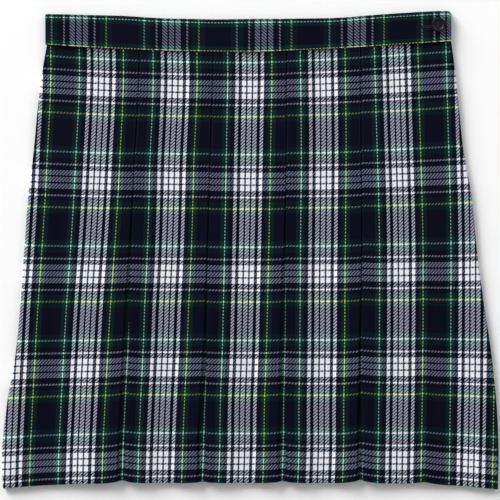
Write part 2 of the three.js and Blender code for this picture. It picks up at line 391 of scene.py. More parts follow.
@dataclass(frozen=True)
class Tartan:
    """A two-and-two twill of dyed yarns. It reads the cloth's own map: across it, and down it.

    The two on_top fields are the warp's share of the colour where the warp floats and where the weft
    does. Two yarns are mixed in the root that contrast gives, which keeps the paler one strong. A
    colour ramp is read in 256 steps, so a yarn's colour is read at read_at, well inside it. The
    groove shade is painted shade: it darkens each yarn's low sides, where the yarns meet.
    """

    name: str = "tartan_twill"
    warp_on_top: float = 0.83
    weft_on_top: float = 0.38
    contrast: float = 8.0
    read_at: float = 0.7
    twill: float = 4.0
    floated: float = 2.0
    yarn_height: float = 0.55
    float_height: float = 0.45
    yarn_variation: float = 0.10
    handling: float = 0.12
    handling_scale: float = 14.0
    handling_detail: float = 3.0
    groove_shade: float = 0.16
    roughness: float = 0.88
    polish: float = 0.08
    specular: float = 0.06
    relief: float = 0.12
    relief_strength: float = 0.35

    def stripes(self, paint: Paint, at: Value, stripes: Sequence[Stripe]) -> Value:
        """The colour of the yarn at a place, as the root that the two yarns are mixed in.

        Args:
            paint: The material.
            at: The yarn's number.
            stripes: The repeat.

        Returns:
            The yarn's colour, to the power of 1 over contrast.
        """
        repeat = sum(stripe.count for stripe in stripes)
        stops = []
        start = 0
        for stripe in stripes:
            stops.append((start / repeat, tuple(c ** (1 / self.contrast) for c in stripe.yarn.value)))
            start += stripe.count
        return paint.ramp(((at + self.read_at) % repeat) / repeat, stops)

    def make(self) -> bpy.types.Material:
        """Builds the material.

        Returns:
            The material.
        """
        paint = Paint(self.name, self.roughness, self.specular)
        place = paint.node("ShaderNodeUVMap", {"uv_map": "cloth"}, {}, "UV")
        across = paint.part(place, "X") / (END_PITCH * MM)
        down = paint.part(place, "Y") / (PICK_PITCH * MM)
        end = across.floor()
        pick = down.floor()
        warp = self.stripes(paint, end, WARP)
        weft = self.stripes(paint, pick, WEFT)
        over = ((end + pick) % self.twill) < self.floated
        along_warp = ((end + down) % self.twill) * (math.pi / self.floated)
        along_weft = ((across + pick) % self.twill) * (math.pi / self.floated)
        float_rise = over.between(0.0 - along_weft.sine(), along_warp.sine())
        side = over.between(down - pick, across - end)
        height = (side * math.pi).sine() * (self.yarn_height + self.float_height * float_rise)
        covered = over.between(self.weft_on_top, self.warp_on_top)
        mixed = paint.colour_mix(covered, weft, warp)
        cloth = paint.node("ShaderNodeGamma", {}, {"Color": mixed, "Gamma": self.contrast}, "Color")
        own = over.between(paint.chance(pick), paint.chance(end)) * self.yarn_variation
        cloud = paint.noise(paint.object_place(), self.handling_scale, self.handling_detail)
        even = 1.0 - self.yarn_variation / 2 - self.handling / 2
        # Painted shade: the groove shade darkens each yarn's low sides, beside its own random tone.
        light = even + own + cloud * self.handling - (1.0 - height) * self.groove_shade
        grey = {"Red": light, "Green": light, "Blue": light}
        tone_and_groove_shade = paint.node("ShaderNodeCombineColor", {}, grey, "Color")
        paint.feed("Base Color", paint.colour_mix(1.0, cloth, tone_and_groove_shade, "MULTIPLY"))
        paint.feed("Roughness", self.roughness - self.polish * height)
        paint.bump(height, self.relief_strength, self.relief * MM)
        return paint.material


@dataclass(frozen=True)
class WovenTape:
    """A plain woven or knitted tape with fine cross ribs."""

    name: str
    colour: Colour
    roughness: float = 0.85
    specular: float = 0.15
    rib_scale: tuple[float, float, float] = (40.0, 1400.0, 40.0)
    cloud_scale: float = 60.0
    rib_share: float = 0.6
    cloud_share: float = 0.3
    grain: Grain = Grain(gain=1.9, lift=0.004, rough=0.78, rougher=0.14, strength=0.4, height=0.1)

    def make(self) -> bpy.types.Material:
        """Builds the material.

        Returns:
            The material.
        """
        paint = Paint(self.name, self.roughness, self.specular)
        place = paint.object_place()
        ribs = paint.noise(paint.stretched(place, self.rib_scale), 1.0, 1.0)
        share = ribs * self.rib_share + paint.noise(place, self.cloud_scale) * self.cloud_share
        paint.grained(self.colour, self.grain, share, ribs, ribs)
        return paint.material


@dataclass(frozen=True)
class Enamel:
    """Dark enamel on cast metal, with a little orange peel and rubbed places."""

    name: str
    colour: Colour
    roughness: float = 0.35
    specular: float = 0.5
    metallic: float = 0.6
    rubbed_scale: float = 900.0
    rubbed_share: float = 0.5
    peel_scale: float = 2600.0
    grain: Grain = Grain(gain=2.4, lift=0.0, rough=0.28, rougher=0.2, strength=0.15, height=0.05)

    def make(self) -> bpy.types.Material:
        """Builds the material.

        Returns:
            The material.
        """
        paint = Paint(self.name, self.roughness, self.specular)
        place = paint.object_place()
        rubbed = paint.noise(place, self.rubbed_scale, 3.0)
        peel = paint.noise(place, self.peel_scale, 1.0)
        paint.grained(self.colour, self.grain, rubbed * self.rubbed_share, rubbed, peel)
        paint.fix("Metallic", self.metallic)
        return paint.material


@dataclass(frozen=True)
class ButtonPlastic:
    """Moulded navy plastic with fine turned rings, polished on the rim and duller in the dish."""

    name: str
    colour: Colour
    centre: tuple[float, float]
    radius: float
    roughness: float = 0.3
    specular: float = 0.22
    ring_turns: float = 62.0
    ring_share: float = 0.3
    swirl_scale: float = 420.0
    swirl_share: float = 0.5
    grain: Grain = Grain(gain=2.2, lift=0.004, rough=0.42, rougher=0.16, strength=0.12, height=0.05)

    def make(self) -> bpy.types.Material:
        """Builds the material.

        Returns:
            The material.
        """
        paint = Paint(self.name, self.roughness, self.specular)
        place = paint.object_place()
        to_centre = (-self.centre[0] * MM, -self.centre[1] * MM, 0.0)
        moved = paint.node("ShaderNodeMapping", {}, {"Vector": place, "Location": to_centre}, "Vector")
        x = paint.part(moved, "X")
        y = paint.part(moved, "Y")
        out = paint.node("ShaderNodeMath", {"operation": "SQRT"}, {0: x * x + y * y}) / (self.radius * MM)
        rings = (out * self.ring_turns).sine() * 0.5 + 0.5
        swirl = paint.noise(place, self.swirl_scale, 4.0)
        height = rings * self.ring_share + swirl
        paint.grained(self.colour, self.grain, swirl * self.swirl_share, swirl - out, height)
        return paint.material


@dataclass(frozen=True)
class SewingThread:
    """Twisted sewing thread."""

    name: str
    colour: Colour
    roughness: float = 0.7
    specular: float = 0.25
    twist_scale: tuple[float, float, float] = (2600.0, 5200.0, 2600.0)
    grain: Grain = Grain(gain=2.6, lift=0.006, rough=0.6, rougher=0.2, strength=0.5, height=0.08)

    def make(self) -> bpy.types.Material:
        """Builds the material.

        Returns:
            The material.
        """
        paint = Paint(self.name, self.roughness, self.specular)
        twist = paint.noise(paint.stretched(paint.object_place(), self.twist_scale), 1.0, 1.0)
        paint.grained(self.colour, self.grain, twist, twist, twist)
        return paint.material


@dataclass(frozen=True)
class Row:
    """One level of the skirt: its side edges, and each pleat's line and opening, in millimetres."""

    down: float
    left: float
    right: float
    pleats: tuple[float, float, float, float]
    opening: tuple[float, float, float, float]


PLEATS = 4
LEAST_OPENING = 0.3
CLOSED = (LEAST_OPENING,) * PLEATS
ROWS = (
    Row(0.0, -203.7, 201.1, (-111.1, -37.2, 36.5, 110.7), CLOSED),
    Row(0.06, -208.4, 204.9, (-111.3, -37.5, 36.4, 110.8), CLOSED),
    Row(0.14, -212.7, 208.6, (-112.9, -38.7, 36.1, 110.8), CLOSED),
    Row(0.24, -217.0, 213.3, (-115.7, -40.1, 35.7, 111.1), CLOSED),
    Row(0.34, -222.3, 221.2, (-117.7, -41.3, 35.3, 111.5), (0.9, 0.4, 0.6, 0.5)),
    Row(0.46, -226.3, 226.7, (-120.3, -42.8, 34.5, 111.5), (2.0, 1.0, 2.2, 0.8)),
    Row(0.58, -230.1, 233.6, (-122.9, -44.1, 33.4, 110.7), (3.6, 1.8, 4.0, 1.1)),
    Row(0.7, -235.3, 241.6, (-124.4, -45.3, 32.7, 109.8), (5.8, 3.0, 5.0, 1.5)),
    Row(0.82, -244.3, 246.9, (-126.3, -47.3, 32.3, 109.5), (6.8, 5.6, 6.2, 2.8)),
    Row(0.92, -248.6, 248.6, (-127.7, -48.1, 32.5, 109.7), (7.7, 9.2, 8.6, 4.6)),
    Row(1.0, -247.8, 247.9, (-128.3, -47.7, 32.6, 110.1), (8.2, 8.6, 8.6, 5.4)),
)


@dataclass(frozen=True)
class RowBend:
    """How far a row's end lies above its middle at the waist and the hem, and how late it bends."""

    waist: float
    hem: float
    waist_power: float
    hem_power: float


@dataclass(frozen=True)
class HemPeak:
    """A place where the hem lifts: at a pleat, or at x where pleat is None."""

    lift: float
    pleat: int | None = None
    x: float = 0.0


@dataclass(frozen=True)
class BoxCloth:
    """Where the tartan lies on one box of the skirt, read at five places down it.

    from_fold is how far the middle between a light and a yellow warp line lies from the box's fold,
    and ahead is how much further down the cloth a place is than an even lie would have it. scale is
    the width that a millimetre of cloth takes.
    """

    from_fold: tuple[float, float, float, float, float]
    ahead: tuple[float, float, float, float, float]
    scale: float


@dataclass(frozen=True)
class Crease:
    """A soft ridge (height above 0) or trough in the front's cloth, from one place to another.

    It fades in and out over shares of its length, and starts narrow and widens on the way.
    """

    x: float
    down: float
    end_x: float
    end_down: float
    half_width: float
    height: float
    fade_in: float = 0.35
    fade_out: float = 0.12
    narrow: float = 0.7
    widened: float = 0.5

    def height_at(self, length: float, down: Array, x: Array) -> Array:
        """The height that the crease adds at each place of the cloth.

        Args:
            length: The cloth's length from the waist seam to the hem.
            down: The share of the way down.
            x: The place across.

        Returns:
            The height in millimetres, 0 away from the crease.
        """
        run_x = self.end_x - self.x
        run_y = (self.end_down - self.down) * length
        long = math.hypot(run_x, run_y)
        away_x = x - self.x
        away_y = (down - self.down) * length
        along = (away_x * run_x + away_y * run_y) / long ** 2
        aside = (away_x * run_y - away_y * run_x) / long
        fade = soft_step(along / self.fade_in) * soft_step((1 - along) / self.fade_out)
        width = self.half_width * (self.narrow + self.widened * np.clip(along, 0, 1))
        return self.height * fade * soft_bump(aside, width)


@dataclass(frozen=True)
class Lie:
    """How the skirt lies: the outline, the pleats and the levels of its layers, in millimetres."""

    length: float = 431.0
    seam_y: float = 198.3
    left_bend: RowBend = RowBend(7.3, -5.7, 2.0, 4.6)
    right_bend: RowBend = RowBend(10.8, -6.6, 1.35, 4.6)
    peaks: tuple[HemPeak, ...] = (
        HemPeak(3.0, 0), HemPeak(1.3, 1), HemPeak(1.9, 2), HemPeak(3.4, 3), HemPeak(2.4, None, 174.0),
    )
    peak_half_width: float = 24.0
    pleat_depth: float = 18.45
    depth_for_opening: float = 0.3
    dip_width: float = 12.0
    face: float = 7.0
    back_of_fold: float = 5.7
    underlay: float = 4.4
    dipped: float = 5.4
    seam: float = 3.9
    stack: float = 7.5
    fold_radius: float = 0.65
    soft_fold: float = 0.85
    soft_from: float = 0.3
    outer: float = 0.5
    inner: float = 0.1
    hem_turn_up: float = 30.0
    hem_inner: float = 0.5

    def column(self, read: Callable[[Row], float], down: Array) -> Array:
        """Reads one column of the rows' table along the cloth."""
        return smooth_curve(down, [row.down for row in ROWS], [read(row) for row in ROWS])

    def left(self, down: Array) -> Array:
        """The left side edge."""
        return self.column(lambda row: row.left, down)

    def right(self, down: Array) -> Array:
        """The right side edge."""
        return self.column(lambda row: row.right, down)

    def pleat(self, k: int, down: Array) -> Array:
        """The line of pleat k."""
        return self.column(lambda row: row.pleats[k], down)

    def opening(self, k: int, down: Array) -> Array:
        """How far pleat k's two folds lie apart."""
        return np.maximum(LEAST_OPENING, self.column(lambda row: row.opening[k], down))

    def reach(self, k: int, down: Array) -> Array:
        """How far from pleat k's line its hidden folds lie."""
        return self.pleat_depth + self.depth_for_opening * self.opening(k, down)

    def radius(self, down: Array) -> Array:
        """The fold's radius, which softens towards the hem."""
        return self.fold_radius + self.soft_fold * soft_step((down - self.soft_from) / (1 - self.soft_from))

    def y(self, down: Array, x: Array) -> Array:
        """Where a place of the cloth lies along +Y.

        Args:
            down: The share of the way down the cloth.
            x: The place across the skirt.

        Returns:
            y in millimetres, with the row's bent ends and the hem's peaks.
        """
        left = self.left(down)
        right = self.right(down)
        middle = (left + right) / 2
        share = np.minimum(1.0, np.abs((x - middle) / ((right - left) / 2)))
        held = np.clip(down, 0.0, 1.0)
        bends = []
        for side in (self.left_bend, self.right_bend):
            power = blend(side.waist_power, side.hem_power, held)
            bends.append(blend(side.waist, side.hem, held) * share ** power)
        lift = np.zeros_like(x)
        for peak in self.peaks:
            at = peak.x if peak.pleat is None else self.pleat(peak.pleat, down)
            away = np.abs(x - at) / self.peak_half_width
            lift = lift + peak.lift * held ** 2 * np.maximum(0.0, 1 - away) ** 2
        return self.seam_y - self.length * down + np.where(x < middle, bends[0], bends[1]) + lift


READ_AT = (0.0, 0.25, 0.5, 0.75, 1.0)
BOXES = (
    BoxCloth((-37.7, -36.3, -36.5, -37.4, -37.9), (0.2, 1.0, 1.1, 0.1, -1.1), 0.985),
    BoxCloth((35.7, 37.5, 38.4, 35.7, 33.7), (0.1, 1.4, 1.4, 0.6, -0.3), 0.98),
    BoxCloth((36.5, 38.2, 38.7, 37.4, 33.9), (0.2, 0.8, 0.7, -0.2, -0.5), 0.985),
    BoxCloth((35.7, 37.6, 36.9, 36.4, 33.0), (0.6, 2.0, 1.6, 0.0, -0.9), 1.0),
    BoxCloth((34.9, 37.6, 39.3, 40.0, 36.1), (0.9, 2.9, 2.6, 1.2, 0.1), 0.97),
)
WARP_REPEAT = END_PITCH * sum(stripe.count for stripe in WARP)
REPEATS_TO_BOX = 3
# From the start of the warp's repeat to the middle between its light and yellow lines.
LIGHT_TO_MIDDLE = 22.89
# How far below the waist seam the weft's repeat starts.
FIRST_WHITE_PICK = 22.34

FRONT_CREASES = (
    Crease(-186.0, 0.30, -206.0, 1.05, 15.0, -1.3),
    Crease(-160.0, 0.62, -164.0, 1.10, 17.0, 1.5),
    Crease(-141.0, 0.48, -147.0, 1.05, 9.0, -0.9),
    Crease(-92.0, 0.55, -104.0, 1.08, 13.0, 1.1),
    Crease(-70.0, 0.70, -79.0, 1.08, 12.0, -1.0),
    Crease(-12.0, 0.48, -22.0, 1.08, 13.0, 1.2),
    Crease(4.0, 0.66, 6.0, 1.05, 11.0, -1.1),
    Crease(62.0, 0.52, 58.0, 1.08, 14.0, 1.0),
    Crease(84.0, 0.62, 86.0, 1.05, 10.0, -0.8),
    Crease(136.0, 0.42, 144.0, 1.08, 15.0, 0.9),
    Crease(168.0, 0.26, 176.0, 1.08, 14.0, 1.9),
    Crease(195.0, 0.38, 208.0, 1.05, 14.0, -1.5),
    Crease(226.0, 0.72, 234.0, 1.05, 8.0, 1.0),
    Crease(-192.0, -0.02, -158.0, 0.17, 9.0, -0.7),
    Crease(186.0, -0.02, 160.0, 0.20, 9.0, -0.8),
    Crease(199.0, 0.10, 204.0, 0.36, 6.0, 0.7),
)


class Side(Enum):
    """Which panel of the skirt."""

    FRONT = "front"
    BACK = "back"


def grid_faces(rows: int, columns: int, flip: bool) -> Array:
    """The four-sided faces of a grid of points.

    Args:
        rows: The number of rows.
        columns: The number of columns.
        flip: True to turn the faces over.

    Returns:
        One row of four point numbers for each face.
    """
    at = np.arange(rows * columns).reshape(rows, columns)
    corners = [at[:-1, :-1], at[1:, :-1], at[1:, 1:], at[:-1, 1:]]
    if flip:
        corners.reverse()
    return np.stack([corner.ravel() for corner in corners], axis=1)


def side_by_side(parts: Sequence[tuple[Array, Array]]) -> tuple[Array, Array]:
    """Joins stretches of a section: their places across, and their levels."""
    across, levels = zip(*parts)
    return np.concatenate(across, axis=1), np.concatenate(levels, axis=1)


def new_piece(name: str, mesh: bpy.types.Mesh) -> bpy.types.Object:
    """Puts a mesh in the scene.

    Args:
        name: The piece's name.
        mesh: Its mesh.

    Returns:
        The piece, with its object at the origin.
    """
    piece = bpy.data.objects.new(name, mesh)
    bpy.context.scene.collection.objects.link(piece)
    return piece


def mesh_piece(name: str, points: Sequence[Sequence[float]], edges: Sequence[tuple[int, int]] = (),
               faces: Sequence[tuple[int, ...]] = ()) -> bpy.types.Object:
    """Makes a piece from listed points.

    Args:
        name: The piece's name.
        points: Its points in millimetres.
        edges: Its bare edges, for a tree to work on.
        faces: Its faces.

    Returns:
        The piece.
    """
    mesh = bpy.data.meshes.new(name)
    mesh.from_pydata([tuple(c * MM for c in point) for point in points], list(edges), list(faces))
    return new_piece(name, mesh)


def wall_mesh(name: str, outer: Array, inner: Array, cloth: Array, flip: bool) -> bpy.types.Object:
    """Joins the two sides of a cloth wall and closes its four rims.

    Args:
        name: The piece's name.
        outer: The right side's points, in rows and columns, in millimetres.
        inner: The wrong side's points.
        cloth: Each point's place on the cloth, across and down, in millimetres.
        flip: True where the wall is turned over.

    Returns:
        The piece, with the cloth's map.
    """
    rows, columns = outer.shape[:2]
    count = rows * columns
    points = np.concatenate([outer.reshape(-1, 3), inner.reshape(-1, 3)]) * MM
    at = np.arange(count).reshape(rows, columns)
    faces = [grid_faces(rows, columns, flip), grid_faces(rows, columns, not flip) + count]
    rims = [(at[0], False), (at[-1], True), (at[:, 0], True), (at[:, -1], False)]
    for rim, turned in rims:
        near, far = rim[:-1], rim[1:]
        corners = [near, far, far + count, near + count]
        if turned != flip:
            corners.reverse()
        faces.append(np.stack(corners, axis=1))
    quads = np.concatenate(faces)
    mesh = bpy.data.meshes.new(name)
    mesh.vertices.add(len(points))
    mesh.vertices.foreach_set("co", points.astype(np.float32).ravel())
    mesh.loops.add(quads.size)
    mesh.loops.foreach_set("vertex_index", quads.astype(np.int32).ravel())
    mesh.polygons.add(len(quads))
    mesh.polygons.foreach_set("loop_start", np.arange(0, quads.size, 4, dtype=np.int32))
    mesh.update(calc_edges=True)
    layer = mesh.uv_layers.new(name="cloth")
    places = np.concatenate([cloth.reshape(-1, 2)] * 2) * MM
    layer.data.foreach_set("uv", places[quads.ravel()].astype(np.float32).ravel())
    mesh.polygons.foreach_set("use_smooth", np.ones(len(quads), bool))
    mesh.validate()
    return new_piece(name, mesh)


def wall_normals(middle: Array) -> Array:
    """The direction out of a wall's right side at each point.

    Args:
        middle: The wall's middle, in rows and columns.

    Returns:
        The directions, of length 1.
    """
    down_cloth = np.gradient(middle, axis=0)
    across = np.gradient(middle, axis=1)
    normal = np.cross(down_cloth, across)
    return normal / np.maximum(np.linalg.norm(normal, axis=2, keepdims=True), 1e-9)


def dress(piece: bpy.types.Object, material: bpy.types.Material) -> None:
    """Gives a piece one material."""
    piece.data.materials.clear()
    piece.data.materials.append(material)


@dataclass
class SkirtPanel:
    """The front or the back: one wall of cloth, folded into four inverted box pleats.

    seam_rows, turn_up_rows and hem_rows are places in millimetres, below the waist seam, below the
    turn-up's edge and above the hem. The walls fields say how thick the wall is there, as a share.
    The swell fields lift the cloth beside a soft fold, and the bulge fields the underlay of an open
    pleat. The squeeze fields say where along a pleat's hidden cloth its two returns start and how far
    they run, as shares, and left_return is how much of the squeezed cloth the left one holds.
    """

    lie: Lie
    side: Side
    row_step: float = 4.7
    rows_clear: float = 2.0
    seam_rows: tuple[float, ...] = (-0.25, -0.1, 0.3)
    seam_walls: tuple[float, ...] = (0.45, 0.85, 1.0)
    turn_up_rows: tuple[float, ...] = (-1.0, -0.3, 0.3, 1.0)
    turn_up_half: float = 0.5
    hem_rows: tuple[float, ...] = (0.8, 0.3, 0.06, 0.0)
    hem_walls: tuple[float, ...] = (1.0, 0.95, 0.78, 0.45)
    side_wall: float = 0.5
    tuck: float = 0.12
    crowding: float = 0.055
    swell: float = 2.0
    swell_reach: float = 11.0
    crease_clear: float = 2.0
    crease_fade: float = 12.0
    bulge: float = 0.10
    bulge_reach: float = 3.0
    left_squeeze: float = 0.06
    right_squeeze: float = 0.76
    squeeze_run: float = 0.18
    left_return: float = 0.67
    outer_box_points: int = 50
    box_points: int = 40
    fold_points: int = 5
    return_points: int = 5
    underlay_points: int = 13

    @property
    def name(self) -> str:
        """The piece's name."""
        return f"{self.side.value}_cloth"

    @property
    def is_front(self) -> bool:
        """True for the front."""
        return self.side is Side.FRONT

    def downs(self) -> tuple[Array, Array]:
        """Where the rows lie.

        Returns:
            Their places down the cloth, and how thick the wall is at each as a share.
        """
        lie = self.lie
        turn_up = lie.length - lie.hem_turn_up
        body = np.arange(self.rows_clear, lie.length - self.rows_clear, self.row_step)
        body = body[np.abs(body - turn_up) > self.rows_clear]
        inside = np.sort(np.concatenate([body, turn_up + np.array(self.turn_up_rows)]))
        places = np.concatenate([self.seam_rows, inside, lie.length - np.array(self.hem_rows)])
        walls = np.concatenate([self.seam_walls, np.ones(len(inside)), self.hem_walls])
        return places[:, None] / lie.length, walls[:, None]

    def box_level(self, down: Array, x: Array) -> Array:
        """The level of the face: up over each pleat's layers, and down between them on the front.

        Args:
            down: The share of the way down.
            x: The place across.

        Returns:
            The level of the wall's middle.
        """
        lie = self.lie
        shape = np.broadcast(down, x).shape
        if not self.is_front:
            return np.full(shape, lie.face)
        on_pleat = np.zeros(shape)
        lift = np.zeros(shape)
        for k in range(PLEATS):
            away = np.abs(x - lie.pleat(k, down))
            held = 1 - soft_step((away - lie.reach(k, down)) / lie.dip_width)
            on_pleat = np.maximum(on_pleat, held)
            from_fold = np.maximum(0.0, away - lie.opening(k, down) / 2)
            soft = self.swell * (lie.radius(down) - lie.fold_radius)
            lift = lift + soft * np.exp(-((from_fold / self.swell_reach) ** 2))
        creases = np.zeros(shape)
        for crease in FRONT_CREASES:
            creases = creases + crease.height_at(lie.length, down, x)
        creases = np.where(creases < 0, creases * (1 - on_pleat), creases)
        from_edge = np.minimum(x - lie.left(down), lie.right(down) - x)
        creases = creases * soft_step((from_edge - self.crease_clear) / self.crease_fade)
        return blend(lie.dipped, lie.face, on_pleat) + lift + creases

    def face_points(self, k: int, down: Array) -> Array:
        """The places across of a box, from its left end to its right one, in each row.

        Args:
            k: The box's number from the left.
            down: The share of the way down.

        Returns:
            The places.
        """
        lie = self.lie
        edge = (lie.dipped if self.is_front else lie.face) - lie.seam + lie.outer
        fold = self.fold_radius(down) + lie.outer
        if k == 0:
            start = lie.left(down) + edge
        else:
            start = lie.pleat(k - 1, down) + lie.opening(k - 1, down) / 2 + fold
        if k == PLEATS:
            end = lie.right(down) - edge
        else:
            end = lie.pleat(k, down) - lie.opening(k, down) / 2 - fold
        count = self.outer_box_points if k in (0, PLEATS) else self.box_points
        share = np.linspace(0.0, 1.0, count)[None, :]
        return blend(start, end, share - self.crowding * np.sin(2 * math.pi * share))

    def fold_radius(self, down: Array) -> Array:
        """The radius of the folds that show. The back's stay flat."""
        if self.is_front:
            return self.lie.radius(down)
        return np.full(np.shape(down), self.lie.fold_radius)

    def arc(self, x: Array, z: Array, radius: Array, start: float, end: float) -> tuple[Array, Array]:
        """A fold as an arc of the wall's middle, in each row.

        Args:
            x: The centre across.
            z: The centre's level.
            radius: The arc's radius.
            start: The angle where it starts, in degrees from +X towards +Z.
            end: The angle where it ends.

        Returns:
            The arc's places across and its levels.
        """
        angle = np.radians(np.linspace(start, end, self.fold_points + 2))[None, 1:-1]
        return x + radius * np.cos(angle), z + radius * np.sin(angle)

    def pleat_points(self, k: int, down: Array) -> tuple[Array, Array]:
        """The cloth of a pleat that isn't face: fold, return, hidden fold, underlay and back again.

        Args:
            k: The pleat's number from the left.
            down: The share of the way down.

        Returns:
            The places across and the levels.
        """
        lie = self.lie
        line = lie.pleat(k, down)
        opening = lie.opening(k, down)
        radius = self.fold_radius(down)
        hidden = lie.fold_radius
        inset = lie.reach(k, down) - hidden - lie.outer
        share = np.linspace(0.0, 1.0, self.underlay_points)[None, :]
        across = blend(line - inset, line + inset, share)
        bulge = self.bulge * opening if self.is_front else 0.0
        under = lie.underlay + bulge * soft_bump(across - line, opening / 2 + self.bulge_reach)
        run = np.linspace(0.0, 1.0, self.return_points + 2)[None, 1:-1]
        fold_left = line - opening / 2 - radius - lie.outer
        fold_right = line + opening / 2 + radius + lie.outer
        level = np.full(np.shape(down), lie.back_of_fold)
        hidden_level = lie.underlay + hidden + 0 * down
        return side_by_side([
            self.arc(fold_left, level + radius, radius, 90, -90),
            (blend(fold_left, line - inset, run), level + 0 * run),
            self.arc(line - inset, hidden_level, hidden, 90, 270),
            (across, under),
            self.arc(line + inset, hidden_level, hidden, -90, 90),
            (blend(line + inset, fold_right, run), level + 0 * run),
            self.arc(fold_right, level + radius, radius, 270, 90),
        ])

    def cloth_across(self, k: int, down: Array, x: Array) -> Array:
        """Where on the tartan a place of a box is.

        Args:
            k: The box's number from the left.
            down: The share of the way down.
            x: The place across the skirt.

        Returns:
            How far across the tartan the place is, in millimetres.
        """
        lie = self.lie
        cloth = BOXES[k]
        from_fold = smooth_curve(down, READ_AT, cloth.from_fold)
        if k == 0:
            fold = lie.pleat(0, down) - lie.opening(0, down) / 2
        else:
            fold = lie.pleat(k - 1, down) + lie.opening(k - 1, down) / 2
        return REPEATS_TO_BOX * WARP_REPEAT * k + LIGHT_TO_MIDDLE + (x - fold - from_fold) / cloth.scale

    def cloth_places(self, down: Array, boxes: Sequence[Array], starts: Sequence[int],
                     travelled: Array) -> Array:
        """Where each point of the section is on the tartan.

        A box has its own places. The side edges follow from how far they are along the section, and so
        does the hidden cloth between two boxes, but its two returns are squeezed to hold the rest of the
        repeats. The left one holds more, so that a light line lies just right of the underlay's middle.

        Args:
            down: The share of the way down.
            boxes: Each box's places across the skirt.
            starts: The column where each box starts.
            travelled: How far each point is along the section.

        Returns:
            The places across the cloth and along it.
        """
        places = np.zeros((*travelled.shape, 2))
        before = 0
        for k, (box, start) in enumerate(zip(boxes, starts)):
            stop = start + box.shape[1]
            places[:, start:stop, 0] = self.cloth_across(k, down, box)
            places[:, start:stop, 1] = smooth_curve(down, READ_AT, BOXES[k].ahead)
            if k > 0:
                run = travelled[:, before:start + 1] - travelled[:, before:before + 1]
                share = run / run[:, -1:]
                into_left = soft_step((share - self.left_squeeze) / self.squeeze_run)
                into_right = soft_step((share - self.right_squeeze) / self.squeeze_run)
                into_returns = blend(into_right, into_left, self.left_return)
                first, last = places[:, before:before + 1], places[:, start:start + 1]
                squeezed = last[:, :, 0] - first[:, :, 0] - run[:, -1:]
                across = first[:, :, 0] + run + squeezed * into_returns
                along = blend(first[:, :, 1], last[:, :, 1], share)
                places[:, before:start + 1] = np.stack([across, along], axis=2)
            before = stop - 1
        for edge, near in ((slice(0, starts[0]), starts[0]), (slice(before + 1, None), before)):
            places[:, edge] = places[:, near:near + 1]
            places[:, edge, 0] += travelled[:, edge] - travelled[:, near:near + 1]
        places[:, :, 1] += down * self.lie.length - FIRST_WHITE_PICK
        return places

    def section(self, down: Array) -> tuple[Array, Array, Array]:
        """The wall's middle in every row, from the left side edge to the right one.

        Args:
            down: The share of the way down.

        Returns:
            The places across, the levels, and the places on the tartan.
        """
        lie = self.lie
        seam = lie.seam + 0 * down
        radius = (lie.dipped if self.is_front else lie.face) - seam
        left = lie.left(down) + lie.outer
        right = lie.right(down) - lie.outer
        parts = [
            (left + self.tuck, seam - self.tuck),
            (left, seam),
            self.arc(left + radius, seam, radius, 180, 90),
        ]
        boxes = [self.face_points(k, down) for k in range(PLEATS + 1)]
        starts = []
        for k, box in enumerate(boxes):
            starts.append(sum(across.shape[1] for across, _ in parts))
            parts.append((box, self.box_level(down, box)))
            if k < PLEATS:
                parts.append(self.pleat_points(k, down))
        parts.extend([
            self.arc(right - radius, seam, radius, 90, 0),
            (right, seam),
            (right - self.tuck, seam - self.tuck),
        ])
        x, z = side_by_side(parts)
        steps = np.hypot(np.diff(x, axis=1), np.diff(z, axis=1))
        travelled = np.concatenate([0 * down, np.cumsum(steps, axis=1)], axis=1)
        return x, z, self.cloth_places(down, boxes, starts, travelled)

    def build(self, finish: bpy.types.Material) -> bpy.types.Object:
        """Builds the panel and dresses it.

        Args:
            finish: The cloth's material.

        Returns:
            The piece.
        """
        lie = self.lie
        down, wall = self.downs()
        x, z, cloth = self.section(down)
        if not self.is_front:
            z = lie.stack - z
        middle = np.stack([x, lie.y(down, x), z], axis=2)
        normal = wall_normals(middle) * (1.0 if self.is_front else -1.0)
        side_walls = np.ones(x.shape[1])
        side_walls[[0, -1]] = self.side_wall
        share = (wall * side_walls)[:, :, None]
        below_edge = down * lie.length - (lie.length - lie.hem_turn_up)
        doubled = soft_step(below_edge + self.turn_up_half)
        inner = blend(lie.inner, lie.hem_inner, doubled)[:, :, None]
        centre = (lie.outer - inner) / 2
        half = (lie.outer + inner) / 2 * share
        outside = middle + normal * (centre + half)
        inside = middle + normal * (centre - half)
        for wall_side in (outside, inside):
            wall_side[:, :, 2] = np.maximum(wall_side[:, :, 2], 0.0)
        piece = wall_mesh(self.name, outside, inside, cloth, flip=not self.is_front)
        dress(piece, finish)
        return piece


@dataclass(frozen=True)
class Hump:
    """A place where the band's upper edge rises, or sags where its height is below 0."""

    x: float
    half_width: float
    height: float

    def at(self, x: Array) -> Array:
        """How much higher the edge is at x."""
        from_middle = np.minimum(1.0, np.abs(x - self.x) / self.half_width)
        return self.height * (1 - from_middle ** 2) ** 2


@dataclass(frozen=True)
class Ripple:
    """A slow wave along the band: its height, the length of a radian of it, and its phase."""

    height: float
    length: float
    phase: float

    def at(self, x: Array) -> Array:
        """The wave at x."""
        return self.height * np.sin(x / self.length + self.phase)


